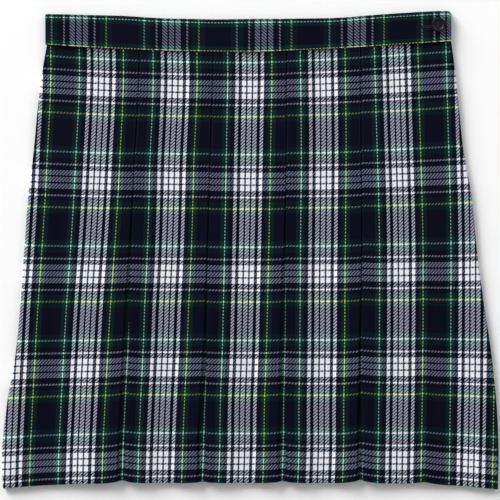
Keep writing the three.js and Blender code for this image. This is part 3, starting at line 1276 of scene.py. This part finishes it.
@dataclass
class Waistband:
    """The waistband: one band that runs from its underlap round the back to the buttoned front end.

    The rim_rows are the rows' distances from each long edge. The end_places are shares of end_turn,
    where the front end's last columns stand, and end_walls how thick the wall is at them.
    """

    lie: Lie
    wall: float = 2.2
    middle_height: float = 32.8
    end_height: float = 30.6
    humps: tuple[Hump, ...] = (Hump(78.0, 75.0, -1.4), Hump(-150.0, 75.0, 1.3))
    edge_ripples: tuple[Ripple, ...] = (Ripple(0.22, 23.0, 0.6), Ripple(0.14, 9.7, 2.0))
    face_ripple: Ripple = Ripple(0.16, 17.0, 1.0)
    ripple_from_left: float = 9.0
    ripple_from_right: float = 22.0
    ripple_fade: float = 20.0
    side_reach: float = 1.6
    hollow: float = 3.6
    underlap_length: float = 30.0
    underlap_gap: float = 0.6
    underlap_from_end: float = 1.0
    underlap_rim: float = 0.05
    underlap_end_wall: float = 0.4
    end_drop: float = 1.1
    end_bend: float = 14.0
    end_turn: float = 3.0
    end_places: tuple[float, ...] = (0.35, 0.6, 0.8, 0.93, 1.0)
    end_walls: tuple[float, ...] = (1.0, 0.97, 0.88, 0.66, 0.3)
    corner: float = 4.6
    corner_fullness: float = 0.97
    seam_gap: float = 0.05
    lower_round: float = 0.7
    least_wall: float = 0.22
    step: float = 3.2
    rim_rows: tuple[float, ...] = (0.0, 0.12, 0.35, 0.7, 1.1, 1.8, 3.2)
    body_rows: int = 13
    body_from_rim: float = 5.0
    underlap_columns: int = 10
    right_fold_columns: int = 9
    left_fold_columns: int = 13
    white_pick_x: float = -187.07
    cloth_at_seam: float = 44.4
    cloth_height: float = 33.45

    @property
    def back_level(self) -> float:
        """The level of the back stretch."""
        return self.wall / 2

    @property
    def underlap_level(self) -> float:
        """The level of the underlap."""
        return self.back_level + self.wall + self.underlap_gap

    def front_level(self, x: Array) -> Array:
        """The level of the front stretch, which the button pulls down towards its end."""
        share = np.clip(1 - (ROWS[0].right - x) / self.end_bend, 0.0, 1.0)
        return self.back_level + self.wall + self.hollow - self.end_drop * share ** 2

    def surface(self, x: float) -> float:
        """The level of the band's upper side at x."""
        return float(self.front_level(np.array(x))) + self.wall / 2

    def height(self, x: Array) -> Array:
        """The band's height, which sags a little on the right and crests on the left.

        Args:
            x: The place across the skirt.

        Returns:
            The height there.
        """
        share = x / ROWS[0].right
        height = blend(self.middle_height, self.end_height, np.minimum(1.0, share ** 2))
        for hump in self.humps:
            height = height + hump.at(x)
        return height

    def bottom(self, x: Array) -> Array:
        """The y of the band's lower edge at x."""
        held = np.clip(x, ROWS[0].left, ROWS[0].right)
        return self.lie.y(np.zeros_like(held), held) + self.seam_gap

    def route(self) -> tuple[Array, Array]:
        """The band's middle, seen along +Y.

        Returns:
            The places across and the levels, from the underlap's end to the front end.
        """
        left, right = ROWS[0].left - self.side_reach, ROWS[0].right
        front = float(self.front_level(np.array(0.0)))
        left_radius = (front - self.back_level) / 2
        right_radius = (self.underlap_level - self.back_level) / 2
        left_centre = left + left_radius + self.wall / 2
        right_centre = right - self.underlap_from_end - right_radius - self.wall / 2
        lap = np.linspace(right - self.underlap_length, right_centre, self.underlap_columns)[:-1]
        round_right = np.radians(np.linspace(90, -90, self.right_fold_columns))
        back = np.linspace(right_centre, left_centre, int((right_centre - left_centre) / self.step))[1:-1]
        round_left = np.radians(np.linspace(270, 90, self.left_fold_columns))
        run = np.linspace(left_centre, right - self.end_turn, int((right - left_centre) / self.step))[1:]
        tip = right - self.end_turn * (1 - np.array(self.end_places))
        xs = np.concatenate([
            [right - self.underlap_length - self.underlap_rim],
            lap,
            right_centre + right_radius * np.cos(round_right),
            back,
            left_centre + left_radius * np.cos(round_left),
            run,
            tip,
        ])
        zs = np.concatenate([
            np.full(len(lap) + 1, self.underlap_level),
            (self.underlap_level + self.back_level) / 2 + right_radius * np.sin(round_right),
            np.full(len(back), self.back_level),
            (front + self.back_level) / 2 + left_radius * np.sin(round_left),
            self.front_level(run),
            self.front_level(tip),
        ])
        return xs, zs

    def shares_up(self) -> Array:
        """Where the rows lie.

        Returns:
            Their shares of the way up the band, from its upper edge to its lower one.
        """
        near = np.array(self.rim_rows)
        body = np.linspace(self.body_from_rim, self.middle_height - self.body_from_rim, self.body_rows)
        rows = np.concatenate([near, body, self.middle_height - near[::-1]])[::-1]
        return (rows / self.middle_height)[:, None]

    def half_walls(self, up: Array, columns: int) -> Array:
        """Half the wall's thickness, rounded off at the long edges and thin at the two ends.

        Args:
            up: The rows' shares of the way up.
            columns: How many columns the band has.

        Returns:
            The half thickness at each point.
        """
        radius = self.wall / 2
        from_rim = np.minimum(up, 1 - up) * self.middle_height
        rounding = np.where(up < 0.5, self.lower_round, radius)
        half = radius * np.sqrt(1 - np.clip(1 - from_rim / rounding, 0.0, 1.0) ** 2)
        ends = np.ones(columns)
        ends[0] = self.underlap_end_wall
        ends[-len(self.end_walls):] = self.end_walls
        return np.maximum(half, self.least_wall) * ends[None, :]

    def build(self, finish: bpy.types.Material) -> bpy.types.Object:
        """Builds the band and dresses it.

        Args:
            finish: The cloth's material.

        Returns:
            The piece.
        """
        xs, zs = self.route()
        up = self.shares_up()
        x = xs[None, :] + 0 * up
        is_front = np.arange(len(xs))[None, :] > len(xs) // 2
        into_corner = np.clip(1 - (ROWS[0].right - x) / self.corner, 0.0, 1.0)
        rounded = self.corner * (1 - np.sqrt(1 - into_corner ** 2 * self.corner_fullness))
        wave = sum(ripple.at(x) for ripple in self.edge_ripples)
        height = self.height(x) - np.where(is_front, rounded, 0.0) + wave * up
        y = self.bottom(x) + up * height
        on_face = is_front & (x > ROWS[0].left + self.ripple_from_left)
        fade = soft_step((ROWS[0].right - self.ripple_from_right - x) / self.ripple_fade)
        soft = self.face_ripple.at(x) * np.sin(math.pi * up)
        z = zs[None, :] + 0 * y + np.where(on_face, soft * fade, 0.0)
        middle = np.stack([x, y, z], axis=2)
        wall = wall_normals(middle) * self.half_walls(up, len(xs))[:, :, None]
        travelled = np.concatenate([[0.0], np.cumsum(np.hypot(np.diff(xs), np.diff(zs)))])
        end_pick = ROWS[0].right - self.white_pick_x
        along = (end_pick - (travelled[-1] - travelled))[None, :] + 0 * y
        across = self.cloth_at_seam + self.cloth_height * up + 0 * y
        cloth = np.stack([across, along], axis=2)
        piece = wall_mesh("waistband_cloth", middle + wall, middle - wall, cloth, flip=False)
        dress(piece, finish)
        return piece


@dataclass(frozen=True)
class TreeInput:
    """One named input of a geometry node tree."""

    name: str
    kind: str
    value: float | int | bpy.types.Material


class Tree:
    """A geometry node tree under construction, and the way to bake it into a plain mesh."""

    def __init__(self, name: str, inputs: Sequence[TreeInput]) -> None:
        """Starts a tree that takes a mesh and the named inputs.

        Args:
            name: The tree's name.
            inputs: The inputs, with the values that the bake sets.
        """
        self.group = bpy.data.node_groups.new(name, "GeometryNodeTree")
        face = self.group.interface
        face.new_socket(name="Geometry", in_out="INPUT", socket_type="NodeSocketGeometry")
        self.given: dict[str, float | int | bpy.types.Material] = {}
        for item in inputs:
            socket = face.new_socket(name=item.name, in_out="INPUT", socket_type=item.kind)
            self.given[socket.identifier] = item.value
        face.new_socket(name="Geometry", in_out="OUTPUT", socket_type="NodeSocketGeometry")
        self.start = self.group.nodes.new("NodeGroupInput")
        self.end = self.group.nodes.new("NodeGroupOutput")

    def input(self, name: str) -> bpy.types.NodeSocket:
        """The tree's own input of that name."""
        return self.start.outputs[name]

    def node(self, kind: str, settings: dict | None = None, sockets: dict | None = None) -> bpy.types.Node:
        """Adds one node.

        Args:
            kind: The node's type.
            settings: Its properties, set before its sockets.
            sockets: A value or a link for each named or numbered socket.

        Returns:
            The node.
        """
        made = self.group.nodes.new(kind)
        for key, setting in (settings or {}).items():
            setattr(made, key, setting)
        for key, given in (sockets or {}).items():
            if isinstance(given, bpy.types.NodeSocket):
                self.group.links.new(given, made.inputs[key])
            else:
                made.inputs[key].default_value = given
        return made

    def maths(self, operation: str, first: bpy.types.NodeSocket | float,
              second: bpy.types.NodeSocket | float) -> bpy.types.NodeSocket:
        """Adds a Math node on two numbers and returns its result."""
        return self.node("ShaderNodeMath", {"operation": operation}, {0: first, 1: second}).outputs[0]

    def close(self, geometry: bpy.types.NodeSocket, material: bpy.types.NodeSocket) -> None:
        """Realizes the instances, sets the material and ends the tree.

        Args:
            geometry: What the tree made.
            material: The piece's material.
        """
        real = self.node("GeometryNodeRealizeInstances", {}, {"Geometry": geometry})
        smooth = self.node("GeometryNodeSetShadeSmooth", {}, {"Geometry": real.outputs[0]})
        dressed = self.node(
            "GeometryNodeSetMaterial", {}, {"Geometry": smooth.outputs[0], "Material": material},
        )
        self.group.links.new(dressed.outputs[0], self.end.inputs[0])

    def bake(self, piece: bpy.types.Object) -> bpy.types.Object:
        """Runs the tree on a piece and leaves a plain mesh.

        Args:
            piece: The object that holds the tree's starting mesh.

        Returns:
            The same object with the made mesh.
        """
        modifier = piece.modifiers.new("made", "NODES")
        modifier.node_group = self.group
        for identifier, value in self.given.items():
            modifier[identifier] = value
        graph = bpy.context.evaluated_depsgraph_get()
        graph.update()
        mesh = bpy.data.meshes.new_from_object(piece.evaluated_get(graph), depsgraph=graph)
        piece.modifiers.remove(modifier)
        rough = piece.data
        piece.data = mesh
        mesh.name = piece.name
        bpy.data.meshes.remove(rough)
        return piece


@dataclass
class Stitches:
    """Stitches of one thread, each laid along one bare edge.

    spread is how much a stitch's thickness varies, and flatness its height as a share of its width.
    """

    name: str
    thickness: float
    flatness: float
    spread: float = 0.12
    seed: int = 3
    points: list[tuple[float, float, float]] = field(default_factory=list)

    def lay(self, start: tuple[float, float, float], end: tuple[float, float, float]) -> None:
        """Adds a stitch from one place to another, in millimetres."""
        self.points.extend((start, end))

    def build(self, finish: bpy.types.Material) -> bpy.types.Object:
        """Builds the stitches that were laid.

        Args:
            finish: The thread's material.

        Returns:
            The piece.
        """
        tree = Tree(f"{self.name}_tree", [
            TreeInput("Thickness", "NodeSocketFloat", self.thickness * MM),
            TreeInput("Flatness", "NodeSocketFloat", self.flatness),
            TreeInput("Spread", "NodeSocketFloat", self.spread),
            TreeInput("Seed", "NodeSocketInt", self.seed),
            TreeInput("Material", "NodeSocketMaterial", finish),
        ])
        ends = tree.node("GeometryNodeInputMeshEdgeVertices")
        run = tree.node(
            "ShaderNodeVectorMath", {"operation": "SUBTRACT"},
            {0: ends.outputs["Position 2"], 1: ends.outputs["Position 1"]},
        )
        kept = tree.node("GeometryNodeCaptureAttribute", {"domain": "EDGE"})
        kept.capture_items.new("VECTOR", "Run")
        tree.group.links.new(tree.input("Geometry"), kept.inputs["Geometry"])
        tree.group.links.new(run.outputs[0], kept.inputs["Run"])
        dots = tree.node(
            "GeometryNodeMeshToPoints", {"mode": "EDGES"}, {"Mesh": kept.outputs["Geometry"]},
        )
        long = tree.node("ShaderNodeVectorMath", {"operation": "LENGTH"}, {0: kept.outputs["Run"]})
        chance = tree.node(
            "FunctionNodeRandomValue", {"data_type": "FLOAT"},
            {2: tree.maths("SUBTRACT", 1.0, tree.input("Spread")),
             3: tree.maths("ADD", 1.0, tree.input("Spread")), "Seed": tree.input("Seed")},
        )
        wide = tree.maths("MULTIPLY", tree.input("Thickness"), chance.outputs[1])
        tall = tree.maths("MULTIPLY", wide, tree.input("Flatness"))
        size = tree.node("ShaderNodeCombineXYZ", {}, {0: long.outputs["Value"], 1: wide, 2: tall})
        turn = tree.node(
            "FunctionNodeAlignRotationToVector", {"axis": "X"}, {"Vector": kept.outputs["Run"]},
        )
        bead = tree.node("GeometryNodeMeshUVSphere", {}, {"Segments": 8, "Rings": 6, "Radius": 0.5})
        laid = tree.node(
            "GeometryNodeInstanceOnPoints", {},
            {"Points": dots.outputs[0], "Instance": bead.outputs["Mesh"],
             "Rotation": turn.outputs[0], "Scale": size.outputs[0]},
        )
        tree.close(laid.outputs[0], tree.input("Material"))
        edges = [(i, i + 1) for i in range(0, len(self.points), 2)]
        return tree.bake(mesh_piece(self.name, self.points, edges=edges))


@dataclass
class PleatStitching:
    """The edge stitching that holds each pleat's two folds down, from the waist seam on.

    The back's stitches are pressed into the cloth, so that the skirt still lies flat.
    """

    lie: Lie
    start: float = 1.2
    length: float = 128.0
    from_fold: float = 1.5
    stitch: float = 2.3
    gap: float = 0.55
    thickness: float = 0.34
    flatness: float = 0.5
    proud: float = 0.02
    pressed_in: float = 0.1

    def place(self, panel: SkirtPanel, k: int, sign: float, below: float) -> tuple[float, float, float]:
        """Where a stitch's end lies.

        Args:
            panel: The panel.
            k: The pleat.
            sign: -1 for its left fold, 1 for its right one.
            below: How far below the waist seam the end is.

        Returns:
            The place in millimetres.
        """
        lie = self.lie
        down = np.array([[below / lie.length]])
        x = lie.pleat(k, down) + sign * (lie.opening(k, down) / 2 + self.from_fold)
        level = panel.box_level(down, x) + lie.outer
        z = level + self.proud if panel.is_front else lie.stack - level + self.pressed_in
        return (float(x[0, 0]), float(lie.y(down, x)[0, 0]), float(z[0, 0]))

    def build(self, panel: SkirtPanel, finish: bpy.types.Material) -> bpy.types.Object:
        """Builds the stitches on one panel.

        Args:
            panel: The panel that they lie on.
            finish: The thread's material.

        Returns:
            The piece.
        """
        stitches = Stitches(f"pleat_stitches_{panel.side.value}", self.thickness, self.flatness)
        pitch = self.stitch + self.gap
        for k in range(PLEATS):
            for sign in (-1.0, 1.0):
                for i in range(int(self.length / pitch)):
                    below = self.start + i * pitch
                    end = self.place(panel, k, sign, below + self.stitch)
                    stitches.lay(self.place(panel, k, sign, below), end)
        return stitches.build(finish)


@dataclass(frozen=True)
class RimPoint:
    """A point of the button's half section: how far inside its edge, and its height as a share."""

    inside: float
    up: float


BUTTON_RIM = (
    RimPoint(1.6, 0.0),
    RimPoint(1.0, 0.06),
    RimPoint(0.5, 0.2),
    RimPoint(0.18, 0.34),
    RimPoint(0.0, 0.5),
    RimPoint(0.0, 0.66),
    RimPoint(0.15, 0.83),
    RimPoint(0.34, 0.93),
    RimPoint(0.6, 1.0),
    RimPoint(1.0, 1.0),
    RimPoint(1.5, 0.97),
    RimPoint(1.9, 0.9),
    RimPoint(2.25, 0.79),
    RimPoint(2.7, 0.72),
    RimPoint(3.4, 0.69),
    RimPoint(4.6, 0.67),
)


@dataclass
class Button:
    """The four-hole button, sewn on with two bars of thread strands."""

    band: Waistband
    x: float = 187.8
    y: float = 225.3
    diameter: float = 14.0
    height: float = 3.0
    hole: float = 1.6
    pitch: float = 3.2
    gap: float = 0.3
    round_steps: int = 72
    drill_steps: int = 28
    sharp_angle: float = 38.0
    strands: int = 5
    strand_pitch: float = 0.24
    strand_lean: float = 0.7
    strand_over: float = 0.35
    strand_clear: float = 0.1
    strand_rise: float = 0.12
    strand_fall: float = 0.05
    strand_thickness: float = 0.5
    strand_flatness: float = 0.9
    leg_share: float = 0.85

    @property
    def base(self) -> float:
        """The level of the button's back."""
        return self.band.surface(self.x) + self.gap

    def blank(self) -> bpy.types.Object:
        """Turns the disc without its holes.

        Returns:
            The piece.
        """
        steps = self.round_steps
        rim = [(self.diameter / 2 - point.inside, point.up * self.height) for point in BUTTON_RIM]
        points = [(self.x, self.y, self.base)]
        for radius, up in rim:
            for i in range(steps):
                angle = 2 * math.pi * i / steps
                points.append((
                    self.x + radius * math.cos(angle), self.y + radius * math.sin(angle), self.base + up,
                ))
        points.append((self.x, self.y, self.base + rim[-1][1]))
        faces = []
        for i in range(steps):
            j = (i + 1) % steps
            faces.append((0, 1 + j, 1 + i))
            for r in range(len(rim) - 1):
                low, high = 1 + r * steps, 1 + (r + 1) * steps
                faces.append((low + i, low + j, high + j, high + i))
            last = 1 + (len(rim) - 1) * steps
            faces.append((last + i, last + j, len(points) - 1))
        return mesh_piece("button_disc", points, faces=faces)

    def disc(self, finish: bpy.types.Material) -> bpy.types.Object:
        """Turns the disc and cuts its holes with a tree.

        Args:
            finish: The plastic's material.

        Returns:
            The piece.
        """
        tree = Tree("button_holes_tree", [
            TreeInput("Hole diameter", "NodeSocketFloat", self.hole * MM),
            TreeInput("Hole pitch", "NodeSocketFloat", self.pitch * MM),
            TreeInput("Depth", "NodeSocketFloat", 3 * self.height * MM),
            TreeInput("Material", "NodeSocketMaterial", finish),
        ])
        corners = tree.node(
            "GeometryNodeMeshGrid", {},
            {"Size X": tree.input("Hole pitch"), "Size Y": tree.input("Hole pitch"),
             "Vertices X": 2, "Vertices Y": 2},
        )
        radius = tree.maths("MULTIPLY", tree.input("Hole diameter"), 0.5)
        drill = tree.node(
            "GeometryNodeMeshCylinder", {},
            {"Vertices": self.drill_steps, "Radius": radius, "Depth": tree.input("Depth")},
        )
        drills = tree.node(
            "GeometryNodeInstanceOnPoints", {},
            {"Points": corners.outputs["Mesh"], "Instance": drill.outputs["Mesh"]},
        )
        middle = (self.x * MM, self.y * MM, (self.base + self.height / 2) * MM)
        placed = tree.node(
            "GeometryNodeTransform", {}, {"Geometry": drills.outputs[0], "Translation": middle},
        )
        solid = tree.node("GeometryNodeRealizeInstances", {}, {"Geometry": placed.outputs[0]})
        cut = tree.node(
            "GeometryNodeMeshBoolean", {"operation": "DIFFERENCE"},
            {"Mesh 1": tree.input("Geometry"), "Mesh 2": solid.outputs[0]},
        )
        tree.close(cut.outputs["Mesh"], tree.input("Material"))
        piece = tree.bake(self.blank())
        piece.data.set_sharp_from_angle(angle=math.radians(self.sharp_angle))
        return piece

    def threads(self, finish: bpy.types.Material) -> bpy.types.Object:
        """The strands through the holes, in two bars, and the shank under the button.

        Args:
            finish: The thread's material.

        Returns:
            The piece.
        """
        stitches = Stitches("button_thread", self.strand_thickness, self.strand_flatness, seed=11)
        half = self.pitch / 2
        top = self.base + BUTTON_RIM[-1].up * self.height + self.strand_clear
        for row in (-half, half):
            for strand in range(self.strands):
                from_middle = strand - self.strands // 2
                aside = from_middle * self.strand_pitch
                level = top + (self.strand_rise - self.strand_fall * abs(from_middle))
                stitches.lay(
                    (self.x - half - self.strand_over, self.y + row + aside * self.strand_lean, level),
                    (self.x + half + self.strand_over, self.y + row + aside, level),
                )
        foot = self.base - self.gap
        for column in (-half, half):
            for row in (-half, half):
                stitches.lay(
                    (self.x + column, self.y + row, top),
                    (self.x + column * self.leg_share, self.y + row * self.leg_share, foot),
                )
        return stitches.build(finish)


@dataclass
class Buttonhole:
    """The worked buttonhole's close stitches: two rows of short bars and a bar tack at each end."""

    band: Waistband
    left: float = 171.9
    right: float = 190.5
    y: float = 223.5
    half_width: float = 1.35
    slit: float = 0.12
    pitch: float = 0.36
    slant: float = 0.06
    rise: float = 0.06
    tack_bars: int = 7
    tack_pitch: float = 0.15
    tack_before: float = 0.9
    tack_over: float = 0.15
    tack_rise: float = 0.05
    thickness: float = 0.42
    flatness: float = 0.8

    def build(self, finish: bpy.types.Material) -> bpy.types.Object:
        """Builds the stitches.

        Args:
            finish: The thread's material.

        Returns:
            The piece.
        """
        stitches = Stitches("buttonhole_stitches", self.thickness, self.flatness, seed=5)
        for i in range(int((self.right - self.left) / self.pitch)):
            x = self.left + i * self.pitch
            z = self.band.surface(x) + self.rise
            for sign in (-1.0, 1.0):
                outer_y = self.y + sign * self.half_width
                stitches.lay((x, self.y + sign * self.slit, z), (x + self.slant, outer_y, z))
        for start in (self.left - self.tack_before, self.right):
            for i in range(self.tack_bars):
                x = start + self.tack_pitch * i
                z = self.band.surface(x) + self.rise + self.tack_rise
                stitches.lay(
                    (x, self.y - self.half_width - self.tack_over, z),
                    (x, self.y + self.half_width + self.tack_over, z),
                )
        return stitches.build(finish)


@dataclass
class SideZip:
    """The closed zip inside the right side seam: its two tapes and the coil at their fold."""

    lie: Lie
    start: float = 10.0
    length: float = 150.0
    width: float = 11.0
    from_edge: float = 3.5
    top: float = 4.1
    bottom: float = 1.8
    tape_wall: float = 0.8
    tape_rows: int = 41
    tape_columns: int = 7
    fold_columns: int = 11
    tooth_pitch: float = 1.5
    tooth_wire: float = 0.55
    first_tooth: float = 1.0
    tooth_inset: float = 0.6
    loop_radius: float = 0.52
    loop_lean: float = 80.0
    loop_stretch: float = 1.25

    @property
    def middle_level(self) -> float:
        """The level between the two tapes."""
        return (self.top + self.bottom) / 2

    def tapes(self, finish: bpy.types.Material) -> bpy.types.Object:
        """Builds the tapes.

        Args:
            finish: The tape's material.

        Returns:
            The piece.
        """
        lie = self.lie
        down = ((self.start + np.linspace(0.0, self.length, self.tape_rows)) / lie.length)[:, None]
        centre = lie.right(down) - self.from_edge
        radius = (self.top - self.bottom) / 2
        run = np.linspace(-self.width, 0.0, self.tape_columns + 1)[None, :-1]
        angle = np.radians(np.linspace(90, -90, self.fold_columns))[None, :]
        flat = np.ones((len(down), run.shape[1]))
        x, z = side_by_side([
            (centre + run, flat * self.top),
            (centre + radius * np.cos(angle), self.middle_level + radius * np.sin(angle) + 0 * centre),
            (centre + run[:, ::-1], flat * self.bottom),
        ])
        middle = np.stack([x, lie.y(down, x), z], axis=2)
        wall = wall_normals(middle) * (self.tape_wall / 2)
        cloth = np.stack([x, down * lie.length + 0 * x], axis=2)
        piece = wall_mesh("zip_tapes", middle + wall, middle - wall, cloth, flip=False)
        dress(piece, finish)
        return piece

    def coil(self, finish: bpy.types.Material) -> bpy.types.Object:
        """Builds the coil: a loop of wire at every tooth, laid by a tree.

        Args:
            finish: The coil's material.

        Returns:
            The piece.
        """
        lie = self.lie
        count = int(self.length / self.tooth_pitch) - 1
        downs = (self.start + self.first_tooth + self.tooth_pitch * np.arange(count)) / lie.length
        xs = lie.right(downs) - self.from_edge - self.tooth_inset
        points = [(float(x), float(y), self.middle_level) for x, y in zip(xs, lie.y(downs, xs))]
        tree = Tree("zip_coil_tree", [
            TreeInput("Loop radius", "NodeSocketFloat", self.loop_radius * MM),
            TreeInput("Wire radius", "NodeSocketFloat", self.tooth_wire / 2 * MM),
            TreeInput("Material", "NodeSocketMaterial", finish),
        ])
        circle = "GeometryNodeCurvePrimitiveCircle"
        loop = tree.node(circle, {}, {"Resolution": 12, "Radius": tree.input("Loop radius")})
        section = tree.node(circle, {}, {"Resolution": 6, "Radius": tree.input("Wire radius")})
        wire = tree.node(
            "GeometryNodeCurveToMesh", {},
            {"Curve": loop.outputs["Curve"], "Profile Curve": section.outputs["Curve"]},
        )
        laid = tree.node(
            "GeometryNodeInstanceOnPoints", {},
            {"Points": tree.input("Geometry"), "Instance": wire.outputs[0],
             "Rotation": (math.radians(self.loop_lean), 0.0, 0.0), "Scale": (self.loop_stretch, 1.0, 1.0)},
        )
        tree.close(laid.outputs[0], tree.input("Material"))
        return tree.bake(mesh_piece("zip_coil", points))


@dataclass(frozen=True)
class Lamp:
    """A square soft light: where it hangs and the length of its side, in metres, and its watts."""

    name: str
    place: tuple[float, float, float]
    side: float
    watts: float

    def hang(self) -> None:
        """Hangs the light so that it faces the skirt."""
        data = bpy.data.lights.new(self.name, "AREA")
        data.shape = "SQUARE"
        data.size = self.side
        data.energy = self.watts
        lamp = bpy.data.objects.new(self.name, data)
        x, y, z = self.place
        lamp.location = self.place
        lamp.rotation_euler = (math.atan2(math.hypot(x, y), z), 0.0, math.atan2(x, -y))
        bpy.context.scene.collection.objects.link(lamp)


@dataclass
class Studio:
    """The floor, the soft light and the camera straight above.

    frame_width is the width that the photograph's frame takes at the cloth's level. The key light
    comes from the upper left and a weak fill from the right.
    """

    height: float = 2200.0
    frame_width: float = 500.0
    level: float = 6.5
    sensor: float = 36.0
    aim_x: float = -0.3
    aim_y: float = 0.4
    clip_end: float = 20.0
    floor_half: float = 6000.0
    floor_grey: float = 0.93
    floor_roughness: float = 0.9
    floor_specular: float = 0.1
    room_light: float = 0.42
    lamps: tuple[Lamp, ...] = (
        Lamp("key", (-4.75, 5.5, 3.125), 4.75, 905.0),
        Lamp("fill", (1.8, 1.6, 1.6), 1.6, 14.0),
    )

    def camera(self) -> None:
        """Places the camera so that the photograph's frame has its width at the cloth's level."""
        data = bpy.data.cameras.new("camera")
        data.sensor_width = self.sensor
        data.lens = self.sensor * (self.height - self.level) / self.frame_width
        data.clip_end = self.clip_end
        camera = bpy.data.objects.new("camera", data)
        camera.location = (self.aim_x * MM, self.aim_y * MM, self.height * MM)
        bpy.context.scene.collection.objects.link(camera)
        bpy.context.scene.camera = camera

    def floor(self) -> None:
        """Lays a plain pale floor."""
        half = self.floor_half
        corners = [(-half, -half, 0.0), (half, -half, 0.0), (half, half, 0.0), (-half, half, 0.0)]
        piece = mesh_piece("floor", corners, faces=[(0, 1, 2, 3)])
        paint = Paint("floor_paper", self.floor_roughness, self.floor_specular)
        paint.fix("Base Color", (self.floor_grey, self.floor_grey, self.floor_grey, 1.0))
        dress(piece, paint.material)

    def light(self) -> None:
        """Sets the room's even light and hangs the lamps."""
        world = bpy.data.worlds.new("room")
        world.use_nodes = True
        background = world.node_tree.nodes["Background"]
        background.inputs["Color"].default_value = (1.0, 1.0, 1.0, 1.0)
        background.inputs["Strength"].default_value = self.room_light
        bpy.context.scene.world = world
        for lamp in self.lamps:
            lamp.hang()
        bpy.context.scene.view_settings.view_transform = "Standard"
        bpy.context.scene.view_settings.look = "None"


def keep(piece: bpy.types.Object, slot: str, *nodes: str) -> None:
    """Lets a piece ride on the skirt and logs it.

    Args:
        piece: The piece.
        slot: Not used; it names the record's material slot that its finish is meant for.
        nodes: The nodes that it stands for.
    """
    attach(piece, BODY)
    if nodes:
        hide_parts(*nodes)
    triangles = sum(len(polygon.vertices) - 2 for polygon in piece.data.polygons)
    LOG.info("%s: %d triangles", piece.name, triangles)


def main() -> None:
    """Builds the studio and every piece of the skirt, in order."""
    logging.basicConfig(level=logging.INFO, format="%(name)s %(message)s")
    studio = Studio()
    studio.camera()
    studio.floor()
    studio.light()

    tartan = Tartan().make()
    tape = WovenTape("zip_tape_weave", srgb(16, 18, 30)).make()
    enamel = Enamel("slider_enamel", srgb(40, 42, 48)).make()
    thread = SewingThread("navy_thread", srgb(10, 11, 24)).make()

    lie = Lie()
    front = SkirtPanel(lie, Side.FRONT)
    back = SkirtPanel(lie, Side.BACK)
    front_piece = front.build(tartan)
    keep(front_piece, "tartan", "skirt_front")
    back_piece = back.build(tartan)
    keep(back_piece, "tartan", "skirt_back")
    band = Waistband(lie)
    band_piece = band.build(tartan)
    keep(band_piece, "tartan_band", "waistband")

    button = Button(band)
    centre = (button.x, button.y)
    plastic = ButtonPlastic("button_plastic", srgb(7, 8, 18), centre, button.diameter / 2).make()
    keep(button.disc(plastic), "button", "button")
    keep(button.threads(thread), "thread")
    keep(Buttonhole(band).build(thread), "thread")

    stitching = PleatStitching(lie)
    for panel in (front, back):
        keep(stitching.build(panel, thread), "thread")

    side_zip = SideZip(lie)
    keep(side_zip.tapes(tape), "zip_tape", "side_zip")
    keep(side_zip.coil(tape), "zip_tape")
    dress(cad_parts["zip_slider"], enamel)


if __name__ == "__main__":
    main()
